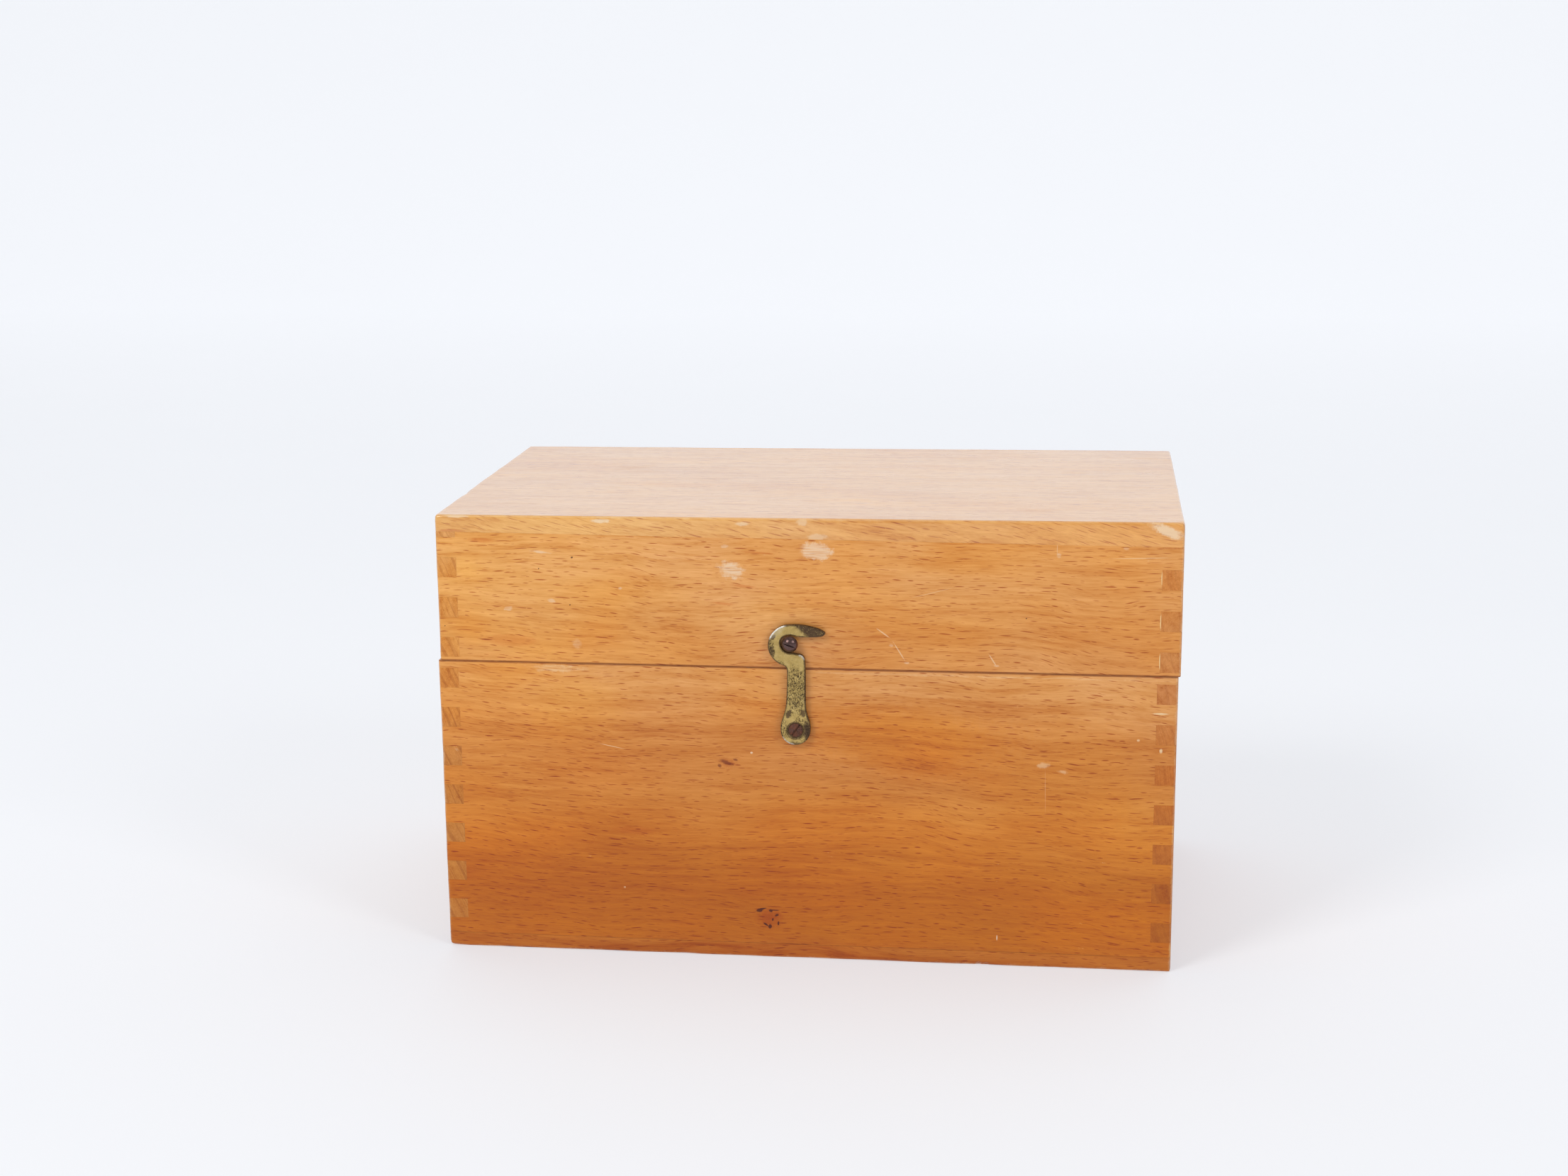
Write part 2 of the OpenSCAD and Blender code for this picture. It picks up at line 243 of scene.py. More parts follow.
    def ramp(self, fac, stops, how="LINEAR"):
        n = self.nt.nodes.new("ShaderNodeValToRGB")
        self.put(n.inputs[0], fac)
        r = n.color_ramp
        r.interpolation = how
        while len(r.elements) > 1:
            r.elements.remove(r.elements[-1])
        r.elements[0].position, r.elements[0].color = stops[0][0], (*stops[0][1], 1)
        for p, c in stops[1:]:
            e = r.elements.new(p)
            e.color = (*c, 1)
        return n.outputs[0]

    def bump(self, height, metres, normal=None, strength=1.0):
        n = self.nt.nodes.new("ShaderNodeBump")
        n.inputs["Strength"].default_value = strength
        n.inputs["Distance"].default_value = metres
        self.put(n.inputs["Height"], height)
        if normal is not None:
            self.put(n.inputs["Normal"], normal)
        return n.outputs[0]

    def blot(self, x, z, at, half, turn=0.0, soft=0.5, rag=None, ragged=0.0):
        """1 inside an ellipse on the plane of x and z, 0 outside it; rag is a noise that roughens its edge."""
        c, s = math.cos(math.radians(turn)), math.sin(math.radians(turn))
        dx, dz = self.sub(x, at[0]), self.sub(z, at[1])
        p = self.mul(self.mad(dx, c, self.mul(dz, s)), 1.0 / half[0])
        q = self.mul(self.mad(dz, c, self.mul(dx, -s)), 1.0 / half[1])
        d = self.math("SQRT", self.mad(p, p, self.mul(q, q)))
        if rag is not None and ragged:
            d = self.mad(self.sub(rag, 0.5), ragged * 2, d)
        return self.step(d, 1.0, 1.0 - soft)


# ------------------------------------------------------------------ wood
def srgb(r, g, b):
    f = lambda v: (v / 12.92 if v <= 0.04045 else ((v + 0.055) / 1.055) ** 2.4)
    return tuple(f(v / 255.0) for v in (r, g, b))


def beech(name, grain, across, origin, tilt=0.0, pith=(20.0, 45.0), tone=0.5, seed=1.0,
          by_height=None, end_tone=(0.86, 0.76, 0.68), end_rays=0.5, dash=1.0, gloss=0.0, marks=None, dash_len=1.0, band=1.0,
          across_face=None, front_slant=0.0):
    """Varnished beech. grain is the direction of the fibres, across the tangential one (the rays' short way)."""
    g = Graph(name)
    G = Vector(grain).normalized()
    A = Vector(across)
    A = (A - G * A.dot(G)).normalized()
    B = G.cross(A).normalized()
    P = g.place()
    px, py, pz = g.split(P)
    O = Vector(origin)
    Q = g.vec("SUBTRACT", P, tuple(O))
    u, a, b = (g.vec("DOT_PRODUCT", Q, tuple(k)) for k in (G, A, B))
    eg = g.attr("eg")
    if across_face:
        F = Vector(across_face)
        F = (F - G * F.dot(G)).normalized()
        a = g.lerp(eg, g.vec("DOT_PRODUCT", Q, tuple(F)), a)
    if front_slant:
        a = g.mad(g.mul(px, g.step(py, -50.4, -50.7)), front_slant, a)
    a = g.mad(u, tilt, a)

    # slow wander of the fibres
    slow = g.noise(g.xyz(g.mul(u, 0.021), g.mul(a, 0.045), g.mul(b, 0.045)), 1.0, 1.8, 0.5, seed=seed, colour=True)
    s1, s2, s3 = g.split(slow)
    a1 = g.mad(g.sub(s1, 0.5), 8.5, a)
    b1 = g.mad(g.sub(s2, 0.5), 5.0, b)
    fine = g.noise(g.xyz(g.mul(u, 0.11), g.mul(a, 0.3), g.mul(b, 0.13)), 1.0, 1.0, 0.5, seed=seed + 3.1, colour=True)
    f1, f2, f3 = g.split(fine)
    a2 = g.mad(g.sub(f1, 0.5), 0.8, a1)

    # growth rings, as broad and narrow bands round a pith line that lies outside the board
    ra, rb = g.sub(a1, pith[0]), g.sub(b1, pith[1])
    R = g.math("SQRT", g.mad(ra, ra, g.mul(rb, rb)))
    R = g.mad(g.sub(f2, 0.5), 1.6, R)
    rings = g.noise1(g.add(R, seed * 17.0), 0.36, 2.0, 0.55)
    zones = g.noise(g.xyz(g.mul(u, 0.022), g.mul(a1, 0.075), g.mul(b1, 0.06)), 1.0, 2.0, 0.5, seed=seed + 7.7)
    fibre = g.noise(g.xyz(g.mul(u, 0.16), g.mul(a2, 2.8), g.mul(b1, 2.8)), 1.0, 2.5, 0.62, seed=seed + 11.3)
    streak = g.noise(g.xyz(g.mul(u, 0.05), g.mul(a2, 0.8), g.mul(b1, 0.8)), 1.0, 2.0, 0.55, seed=seed + 17.3)
    fleck = g.noise(g.xyz(g.mul(u, 0.09), g.mul(a2, 0.25), g.mul(b1, 0.3)), 1.0, 1.0, 0.5, seed=seed + 13.9)
    hairs = g.noise(g.xyz(g.mul(u, 0.26), g.mul(a2, 5.5), g.mul(b1, 5.5)), 1.0, 1.5, 0.6, seed=seed + 15.7)
    hue = g.noise(g.xyz(g.mul(u, 0.028), g.mul(a1, 0.07), g.mul(b1, 0.07)), 1.0, 1.5, 0.5, seed=seed + 19.1)

    # rays: short dark dashes along the grain, thin lines in end grain
    def dashes(cu, ca, lu, la, keep, off, lean, random):
        v = g.xyz(g.mul(g.add(u, off), 1.0 / cu), g.mul(g.add(a2, off * 0.37), 1.0 / ca), 0.0)
        o = g.cells(v, random=random, flat=True)
        du, da, db = g.split(g.vec("SUBTRACT", v, o["Position"]))
        r1, r2, r3 = g.split(o["Color"])
        # in millimetres, then in units of this dash's own half sizes
        du, da = g.mul(du, cu), g.mul(da, ca)
        da = g.mad(du, g.mul(g.sub(r3, 0.5), lean), da)
        ku = g.mul(du, g.step(r1, 0.0, 1.0, 1.0 / (lu * 0.5), 1.0 / (lu * 1.35), smooth=False))
        ka = g.mul(da, g.step(r2, 0.0, 1.0, 1.0 / (la * 1.35), 1.0 / (la * 0.7), smooth=False))
        d = g.mad(ku, ku, g.mul(ka, ka))
        m = g.step(d, 1.0, 0.0)
        return g.mul(m, g.step(r3, keep, keep + 0.5, 0.25 if keep < 0.1 else 0.0, 1.0))

    d1 = dashes(4.9, 1.22, 1.75 * dash_len, 0.122, 0.0, 0.0, 0.07, 0.92)
    d2 = dashes(3.1, 0.74, 1.05 * dash_len, 0.070, 0.22, 31.0, 0.06, 1.0)
    # dashes crowd into some stretches and fade in others
    crowd = g.step(fleck, 0.3, 0.62, 0.75, 1.15)
    d1 = g.mul(d1, crowd)
    d2 = g.mul(d2, crowd)

    # colour: an upper and a lower colour, and between them by height where the board is darker below
    if by_height:
        hz = g.mad(g.sub(zones, 0.5), 20.0, g.mad(g.sub(streak, 0.5), 9.0, g.mad(g.sub(f3, 0.5), 3.0, pz)))
        lo, hi = by_height[0], by_height[-1]
        base = g.ramp(g.step(hz, lo[0], hi[0], smooth=False),
                      [((z - lo[0]) / (hi[0] - lo[0]), c) for z, c in by_height])
    else:
        base = None
    v = g.mad(g.sub(hairs, 0.5), 0.75, g.mad(g.sub(rings, 0.5), 0.75 * band, g.mad(g.sub(zones, 0.5), 0.9 * band, g.mad(g.sub(fibre, 0.5), 1.35, g.mad(g.sub(streak, 0.5), 1.35, tone)))))
    light, mid, dark = (1.09, 1.15, 1.30), (1.0, 1.0, 1.0), (0.90, 0.80, 0.62)
    shade = g.ramp(v, [(0.0, (0.80, 0.64, 0.44)), (0.12, dark), (0.5, mid), (0.88, light), (1.0, (1.12, 1.20, 1.40))])
    col = g.mix(1.0, base, shade, "MULTIPLY")
    # between a saturated orange and a pinker honey
    col = g.mix(1.0, col, g.ramp(hue, [(0.30, (1.01, 0.94, 0.70)), (0.5, (1.0, 1.0, 1.0)), (0.70, (1.0, 1.03, 1.20))]), "MULTIPLY")
    # redder cast in narrow stretches
    red = g.step(g.noise(g.xyz(g.mul(u, 0.045), g.mul(a1, 0.34), g.mul(b1, 0.3)), 1.0, 1.5, 0.5, seed=seed + 21.0), 0.6, 0.78)
    col = g.mix(g.mul(red, 0.5), col, g.mix(1.0, col, (0.94, 0.84, 0.74), "MULTIPLY"))

    # end grain soaks up more varnish: darker and browner, with its ray lines and soft growth rings
    pores = g.cells(g.xyz(g.mul(a2, 3.4), g.mul(b1, 3.4), g.mul(u, 0.2)))
    pore = g.step(pores["Distance"], 0.34, 0.12)
    endcol = g.mix(1.0, col, end_tone, "MULTIPLY")
    endcol = g.mix(g.mul(pore, 0.16), endcol, g.mix(1.0, endcol, (0.72, 0.62, 0.55), "MULTIPLY"))
    late = g.step(g.noise1(g.add(R, seed * 5.0), 0.8, 1.0, 0.5), 0.45, 0.7)
    endcol = g.mix(g.mul(late, 0.3), endcol, g.mix(1.0, endcol, (0.88, 0.80, 0.72), "MULTIPLY"))
    ray = g.noise1(g.mad(g.sub(f1, 0.5), 0.5, g.add(a1, seed * 3.0)), 0.78, 1.0, 0.5)
    endcol = g.mix(g.mul(g.step(ray, 0.52, 0.66), end_rays), endcol, g.mix(1.0, endcol, (0.78, 0.68, 0.58), "MULTIPLY"))
    col = g.mix(eg, col, endcol)
    d1 = g.mul(d1, g.lerp(eg, 1.0, 0.10 + 0.35 * end_rays))
    d2 = g.mul(d2, g.lerp(eg, 1.0, 0.25))
    col = g.mix(g.mul(d1, 1.0 * dash), col, g.mix(1.0, col, (0.60, 0.34, 0.19), "MULTIPLY"))
    col = g.mix(g.mul(d2, 0.85 * dash), col, g.mix(1.0, col, (0.70, 0.46, 0.30), "MULTIPLY"))

    # the inside is the same wood with less of a patina
    ins = g.attr("ins")
    pale = g.mix(1.0, col, (1.08, 1.16, 1.34), "MULTIPLY")
    col = g.mix(g.mul(ins, 0.6), col, pale)

    # wear: pale along the edges; dark dirt in the joint seams, and painted shade in the gap of the parting line
    rag = g.noise(P, 0.8, 4.0, 0.7, seed=seed + 2.0)
    rag2 = g.noise(P, 0.16, 2.0, 0.5, seed=seed + 4.0)
    scuff = g.noise(g.xyz(g.mul(px, 0.20), g.mul(py, 0.20), g.mul(pz, 0.36)), 1.0, 6.0, 0.74, seed=seed + 6.0)
    scuff = g.mul(g.step(scuff, 0.655, 0.74), g.step(g.sub(1.0, ins), 0.0, 1.0))
    col = g.mix(g.mul(scuff, 0.36), col, srgb(240, 205, 160))
    wear = g.attr("wear")
    worn = g.mul(g.step(g.mad(g.sub(rag, 0.5), 1.3, wear), 0.45, 0.95), g.step(rag2, 0.35, 0.65, 0.25, 1.0))
    col = g.mix(g.mul(worn, 0.6), col, g.mix(0.45, g.mix(1.0, col, (1.10, 1.22, 1.45), "MULTIPLY"), (0.86, 0.66, 0.42)))
    # the seam attribute darkens the joints as dirt; on the parting line it is painted shade of the gap between lid and
    # base
    seam = g.attr("seam")
    seam_dirt_and_shade = g.mul(seam, g.step(rag, 0.34, 0.62, 0.25, 1.0))
    col = g.mix(seam_dirt_and_shade, col, (0.085, 0.030, 0.010))

    rough = g.mad(g.sub(fibre, 0.5), 0.10, 0.36 - gloss)
    rough = g.mad(worn, 0.14, rough)
    rough = g.mad(g.sub(rag2, 0.5), 0.10, rough)
    rough = g.mad(ins, 0.10, rough)
    extra_rough = None
    height = g.mad(d1, -0.8, g.mul(d2, -0.4))
    height = g.mad(g.sub(fibre, 0.5), 0.35, height)
    if marks:
        col, rough, height = marks(g, px, py, pz, col, rough, height, rag, fibre)
    rough = g.mad(seam_dirt_and_shade, 0.3, rough)

    g.put(g.bsdf.inputs["Base Color"], col)
    g.put(g.bsdf.inputs["Roughness"], g.math("ADD", rough, 0.0, clamp=True))
    n1 = g.bump(g.noise(g.xyz(g.mul(u, 0.05), g.mul(a, 0.16), g.mul(b, 0.16)), 1.0, 2.0, 0.5, seed=seed + 9.0), 0.00022)
    n2 = g.bump(height, 0.000022, n1)
    n3 = g.bump(rag, 0.00002, n2)
    g.put(g.bsdf.inputs["Normal"], n3)
    g.bsdf.inputs["IOR"].default_value = 1.5
    g.bsdf.inputs["Specular IOR Level"].default_value = 0.3
    g.bsdf.inputs["Coat Weight"].default_value = 0.12
    g.bsdf.inputs["Coat Roughness"].default_value = 0.14
    g.bsdf.inputs["Coat IOR"].default_value = 1.5
    return g.mat


def under(r, g, b):
    """The wood's own colour, under a varnish whose gloss adds a little white to what is seen."""
    return tuple(max(c - 0.020, 0.004) for c in srgb(r, g, b))


# the wood's colour by height: honey above, darker and redder towards the foot of the box, in part a painted shade for
# the lower walls, which get less light
BASE_RAMP = [(0.0, under(188, 109, 50)), (8.0, under(186, 106, 44)), (19.0, under(184, 103, 40)), (25.0, under(190, 110, 46)), (31.0, under(198, 118, 52)),
             (36.0, under(203, 125, 59)), (43.0, under(207, 132, 66)), (52.0, under(209, 135, 70)), (61.0, under(216, 143, 76)), (69.0, under(222, 154, 88)), (75.0, under(224, 158, 94))]
LID_RAMP = [(74.0, under(217, 148, 84)), (81.0, under(221, 153, 88)), (92.0, under(226, 159, 92)), (107.0, under(230, 164, 98))]
LEFT_RAMP = [(0.0, under(193, 124, 64)), (15.0, under(189, 120, 58)), (40.0, under(194, 126, 64)), (50.0, under(198, 128, 64)), (62.0, under(207, 134, 66)),
             (72.0, under(212, 141, 72)), (80.0, under(214, 145, 74)), (107.0, under(216, 152, 86))]
RIGHT_RAMP = [(0.0, under(180, 104, 46)), (15.0, under(176, 99, 38)), (30.0, under(186, 109, 51)), (50.0, under(190, 112, 53)), (60.0, under(197, 123, 64)),
              (72.0, under(200, 129, 74)), (80.0, under(204, 134, 76)), (107.0, under(208, 136, 77))]


def scaled(ramp, k, warm=(1, 1, 1)):
    return [(z, tuple(min(c * k * w, 0.95) for c, w in zip(col, warm))) for z, col in ramp]


BURNS = [((-10.9, 12.2), (1.15, 0.55), 22), ((-10.0, 12.7), (1.2, 0.3), 12), ((-8.0, 12.2), (0.6, 0.5), -20), ((-7.2, 12.4), (1.9, 0.18), 0),
         ((-6.6, 11.1), (0.6, 0.4), 20), ((-7.6, 9.9), (0.36, 0.6), -15), ((-6.2, 9.0), (0.28, 0.6), -5), ((-8.3, 8.1), (0.5, 0.65), -10),
         ((-9.3, 8.6), (0.9, 0.28), -35)]


def base_front_marks(g, x, y, z, col, rough, height, rag, fibre):
    on = g.step(y, -50.2, -50.6)
    def tint(col, m, c, k, how="MIX"):
        return g.mix(g.mul(g.mul(m, on), k), col, g.mix(1.0, col, c, "MULTIPLY") if how == "MUL" else c)
    # saturated orange stretch with a cluster of dark streaks in it
    col = tint(col, g.blot(x, z, (27, 51), (16, 7), -2, 0.8, rag, 0.25), (0.98, 0.88, 0.62), 0.8, "MUL")
    streak = g.step(fibre, 0.5, 0.62)
    col = tint(col, g.mul(g.blot(x, z, (28, 50.6), (6.5, 2.2), -3, 0.6, rag, 0.4), streak), (0.62, 0.40, 0.26), 0.9, "MUL")
    # yellower towards the left end, and a more saturated middle
    col = tint(col, g.step(x, 10.0, -85.0), (1.09, 1.10, 1.00), 1.0, "MUL")
    col = tint(col, g.step(z, 62.0, 20.0), (1.0, 0.97, 0.72), 1.0, "MUL")
    col = tint(col, g.blot(x, z, (26, 57.0), (36, 12), -3, 0.7, rag, 0.25), (0.985, 0.86, 0.42), 0.95, "MUL")
    col = tint(col, g.blot(x, z, (64, 48), (32, 20), 0, 0.75, rag, 0.25), (1.02, 0.98, 0.68), 0.9, "MUL")
    col = tint(col, g.blot(x, z, (-55, 63), (18, 10), 0, 0.8, rag, 0.25), (1.0, 0.98, 0.76), 0.9, "MUL")
    col = tint(col, g.mul(g.step(x, -28.0, 22.0), g.step(z, 46.0, 36.0)), (1.09, 1.15, 1.12), 0.9, "MUL")
    col = tint(col, g.blot(x, z, (84, 36), (20, 14), 0, 0.8, rag, 0.25), (1.08, 1.14, 1.22), 0.9, "MUL")
    col = tint(col, g.blot(x, z, (76, 11), (30, 13), 0, 0.8, rag, 0.25), (1.15, 1.18, 1.0), 0.9, "MUL")
    # soft red band, and redder left middle
    col = tint(col, g.blot(x, z, (-42, 32), (8, 1.6), -1, 0.8, rag, 0.3), (0.90, 0.72, 0.55), 0.8, "MUL")
    col = tint(col, g.blot(x, z, (-50, 47), (26, 9), 2, 0.9, rag, 0.3), (0.99, 0.90, 0.74), 0.7, "MUL")
    # paler wavy stretch on the right
    col = tint(col, g.blot(x, z, (62, 41), (24, 8), -4, 0.7, rag, 0.3), (1.03, 1.06, 1.15), 0.8, "MUL")
    # worn streak under the parting line at the left
    m = g.mul(g.blot(x, z, (-60, 73.1), (8.0, 1.25), 0, 0.7, rag, 1.0), g.step(fibre, 0.36, 0.60, 0.35, 1.0))
    col = tint(col, m, srgb(240, 204, 156), 0.55)
    # a pale line just under the parting line: in part wear, in part a painted highlight of the rounded rim
    m = g.blot(x, z, (20, 73.5), (26, 0.4), 0, 0.7, rag, 0.9)
    col = tint(col, m, srgb(236, 190, 138), 0.22)
    # a dark band just under the parting line: painted shade of the gap between lid and base, with some dirt
    seam_dirt_and_shade = g.mul(g.step(z, 74.02, 74.22), g.step(fibre, 0.30, 0.62, 0.65, 1.0))
    # specks and burns
    for at, r in (((-18.6, 50.2), (2.3, 0.7)), ((-20.3, 49.4), (0.7, 0.5)), ((-16.4, 51.0), (0.8, 0.4))):
        col = tint(col, g.blot(x, z, at, r, -20, 0.6, rag, 0.7), srgb(120, 48, 18), 0.75)
    col = tint(col, g.blot(x, z, (-8.4, 10.6), (4.2, 3.4), 10, 0.8, rag, 0.7), (0.92, 0.68, 0.42), 0.7, "MUL")
    for at, r, turn in BURNS:
        col = tint(col, g.blot(x, z, at, r, turn, 0.5, rag, 0.7), srgb(84, 30, 12), 0.95)
    col = tint(col, g.blot(x, z, (-8.0, 10.0), (4.2, 3.2), 10, 0.8, rag, 0.5), (0.80, 0.62, 0.48), 0.6, "MUL")
    col = tint(col, g.blot(x, z, (-18.4, 50.2), (3.4, 1.7), -14, 0.8, rag, 0.6), (0.78, 0.56, 0.40), 0.7, "MUL")
    # the same pale line further right: in part wear, in part a painted highlight of the rounded rim
    col = tint(col, g.mul(g.blot(x, z, (56, 73.4), (34, 0.35), 0, 0.6, rag, 1.0), g.step(fibre, 0.42, 0.56)), srgb(240, 196, 140), 0.4)
    col = tint(col, seam_dirt_and_shade, (0.42, 0.26, 0.17), 0.85, "MUL")
    col = tint(col, g.blot(x, z, (-12.4, 52.9), (0.4, 0.32), 0, 0.5), srgb(240, 214, 180), 0.75)
    col = tint(col, g.blot(x, z, (-44.7, 17.1), (0.35, 0.3), 0, 0.5), srgb(226, 185, 140), 0.6)
    # thin scratches and pale chips
    col = tint(col, g.blot(x, z, (-47, 53.6), (3.9, 0.13), -11, 0.6), srgb(240, 205, 160), 0.6)
    col = tint(col, g.blot(x, z, (59, 45.3), (0.12, 6.8), 1, 0.7, rag, 0.5), srgb(236, 196, 150), 0.3)
    col = tint(col, g.blot(x, z, (58.4, 51.8), (1.8, 0.9), 10, 0.7, rag, 1.0), srgb(238, 198, 150), 0.5)
    col = tint(col, g.blot(x, z, (63.2, 50.2), (1.6, 0.6), -8, 0.7, rag, 1.0), srgb(238, 198, 150), 0.5)
    col = tint(col, g.blot(x, z, (86.0, 65.3), (2.4, 0.33), 0, 0.6, rag, 0.4), srgb(243, 212, 165), 0.8)
    col = tint(col, g.blot(x, z, (86.3, 56.1), (0.5, 0.7), 0, 0.6, rag, 0.4), srgb(243, 212, 165), 0.8)
    col = tint(col, g.blot(x, z, (80.9, 58.6), (0.5, 0.4), 0, 0.6, rag, 0.4), srgb(243, 212, 165), 0.6)
    col = tint(col, g.blot(x, z, (47.8, 7.3), (0.18, 0.9), 0, 0.6), srgb(246, 226, 200), 0.7)
    return col, rough, height


def lid_front_marks(g, x, y, z, col, rough, height, rag, fibre):
    on = g.step(y, -50.2, -50.6)
    def tint(col, m, c, k, how="MIX"):
        return g.mix(g.mul(g.mul(m, on), k), col, g.mix(1.0, col, c, "MULTIPLY") if how == "MUL" else c)
    # a dark band just above the parting line: painted shade of the gap between lid and base, with some dirt
    col = tint(col, g.mul(g.step(z, 74.90, 74.68), g.step(fibre, 0.30, 0.62, 0.65, 1.0)), (0.42, 0.26, 0.17), 0.85, "MUL")
    # yellower towards the left end
    col = tint(col, g.step(x, 0.0, -80.0), (1.08, 1.13, 1.05), 1.0, "MUL")
    # long curved scratch and a short one
    for at, half, turn, k in (((19.9, 83.6), (2.3, 0.2), -36, 0.6), ((23.6, 79.3), (3.3, 0.18), -58, 0.55), ((46.0, 77.6), (1.9, 0.2), -58, 0.6)):
        col = tint(col, g.blot(x, z, at, half, turn, 0.5, rag, 0.5), srgb(240, 206, 164), k)
    col = tint(col, g.blot(x, z, (-8, 87), (20, 8), 0, 0.8, rag, 0.25), (1.07, 1.14, 1.18), 0.9, "MUL")
    col = tint(col, g.blot(x, z, (-83, 98), (8, 5), 0, 0.9, rag, 0.3), (1.03, 1.02, 0.84), 0.8, "MUL")
    # small inbark knot, drawn out along the grain
    knot = g.blot(x, z, (-71.6, 79.9), (7.2, 1.35), -1, 0.55, rag, 0.25)
    col = tint(col, knot, (0.90, 0.74, 0.58), 0.8, "MUL")
    col = tint(col, g.mul(g.blot(x, z, (-71.6, 79.9), (7.6, 1.7), -1, 0.25, rag, 0.25), g.sub(1.0, knot)), (0.90, 0.72, 0.56), 0.5, "MUL")
    col = tint(col, g.blot(x, z, (-77.4, 80.0), (2.2, 0.32), 0, 0.7, rag, 0.3), (0.70, 0.48, 0.34), 0.8, "MUL")
    # redder right-hand end, richer orange left of the middle
    col = tint(col, g.blot(x, z, (78, 90), (34, 24), 0, 0.9, rag, 0.2), (0.99, 0.955, 0.90), 0.9, "MUL")
    col = tint(col, g.blot(x, z, (-50, 81), (12, 8), 0, 0.9, rag, 0.3), (1.0, 0.94, 0.80), 0.9, "MUL")
    col = tint(col, g.blot(x, z, (-81, 83), (7, 6), 0, 0.9, rag, 0.3), (1.0, 0.93, 0.74), 0.8, "MUL")
    # finish rubbed through in pale patches
    for at, half, turn, k in (((-16.8, 98.6), (3.7, 2.7), -12, 0.85), ((-71.9, 87.9), (1.3, 0.7), 10, 0.55), ((-61.2, 90.1), (1.1, 0.6), -8, 0.6),
                              ((-63.3, 102.1), (3.0, 0.35), -6, 0.6), ((-18.4, 104.3), (1.3, 0.5), 5, 0.55), ((21.8, 80.7), (0.7, 0.5), 0, 0.45),
                              ((25.5, 76.4), (0.8, 0.4), 0, 0.5), ((46.9, 76.2), (0.8, 0.3), 0, 0.45), ((61.3, 103.4), (0.7, 0.9), 0, 0.6),
                              ((77, 105.3), (0.8, 0.4), 0, 0.5), ((-55, 79.5), (1.4, 1.6), 0, 0.3), ((-44, 93.5), (0.5, 0.4), 0, 0.5)):
        m = g.mul(g.blot(x, z, at, half, turn, 0.55, rag, 0.85), g.step(fibre, 0.36, 0.60, 0.35, 1.0))
        col = tint(col, m, srgb(238, 206, 170), k)
    m = g.mul(g.blot(x, z, (3.8, 103.4), (4.4, 2.5), -6, 0.4, rag, 0.7), g.step(fibre, 0.34, 0.58, 0.45, 1.0))
    col = tint(col, m, srgb(240, 210, 176), 0.75)
    # thin lines
    col = tint(col, g.blot(x, z, (80.7, 103.1), (9.0, 0.12), 2, 0.6), srgb(244, 205, 152), 0.75)
    col = tint(col, g.blot(x, z, (60.9, 105.0), (0.12, 1.7), 0, 0.6), srgb(240, 205, 160), 0.5)
    col = tint(col, g.blot(x, z, (31.5, 93.8), (6.2, 0.12), 15, 0.6), srgb(240, 200, 150), 0.5)
    for zz, h in ((98.2, 2.0), (87.8, 2.3), (78.2, 2.2)):
        col = tint(col, g.blot(x, z, (85.45, zz), (0.2, h), 0, 0.5, rag, 0.5), srgb(246, 218, 160), 0.75)
    # dark pin holes and specks
    for at, r in (((-55.7, 100.9), 0.34), ((-64.0, 98.0), 0.21), ((-56.5, 89.1), 0.23), ((53.9, 88.0), 0.21), ((-87.9, 83.2), 0.18)):
        m = g.blot(x, z, at, (r, r * 0.8), 30, 0.6)
        col = tint(col, m, srgb(84, 42, 18), 0.9)
        height = g.mad(g.mul(m, on), -6.0, height)
    # stronger reddish streaks
    for at, half, turn in (((-10.5, 102.9), (5.0, 0.32), -3), ((-19, 90.2), (4.2, 0.42), -5), ((-14, 94.6), (4.5, 0.5), -5), ((-78, 104.8), (4.6, 0.8), 0)):
        col = tint(col, g.blot(x, z, at, half, turn, 0.7, rag, 0.6), (0.86, 0.62, 0.44), 0.7, "MUL")
    return col, rough, height


def lid_top_marks(g, x, y, z, col, rough, height, rag, fibre):
    on = g.step(y, -50.2, -50.6)
    def tint(col, m, c, k, how="MIX"):
        return g.mix(g.mul(g.mul(m, on), k), col, g.mix(1.0, col, c, "MULTIPLY") if how == "MUL" else c)
    col = tint(col, g.step(x, 10.0, -88.0), (1.05, 1.04, 0.80), 1.0, "MUL")
    col = tint(col, g.step(x, -40.0, 86.0), (0.965, 0.82, 0.52), 1.0, "MUL")
    for at, half, turn, k in (((-48.3, 110.0), (2.6, 0.7), 0, 0.7), ((0.5, 110.4), (1.6, 1.0), 0, 0.4), ((86.5, 109.6), (4.8, 1.5), -22, 0.7),
                              ((-14.0, 109.8), (2.2, 0.6), 0, 0.5), ((-84, 110.6), (3.6, 0.5), 0, 0.6), ((4, 106.9), (3.2, 1.0), 0, 0.4)):
        col = tint(col, g.blot(x, z, at, half, turn, 0.55, rag, 0.8), srgb(244, 218, 180), k)
    col = tint(col, g.blot(x, z, (-85.5, 107.0), (4.0, 0.55), 0, 0.4, rag, 0.3), (0.86, 0.66, 0.52), 0.85, "MUL")
    # scuffs of use on the upper face
    up = g.step(z, 110.4, 110.8)
    worn = g.step(g.noise(g.xyz(g.mul(x, 0.05), g.mul(y, 0.09), 0.0), 1.0, 4.0, 0.6, seed=5.0), 0.56, 0.72)
    rough = g.mad(g.mul(worn, up), 0.10, rough)
    hair = g.noise(g.xyz(g.mul(x, 0.09), g.mul(g.mad(x, 0.25, y), 5.0), 0.0), 1.0, 2.0, 0.5, seed=8.0)
    rough = g.mad(g.mul(g.step(hair, 0.66, 0.72), up), 0.12, rough)
    return col, rough, height


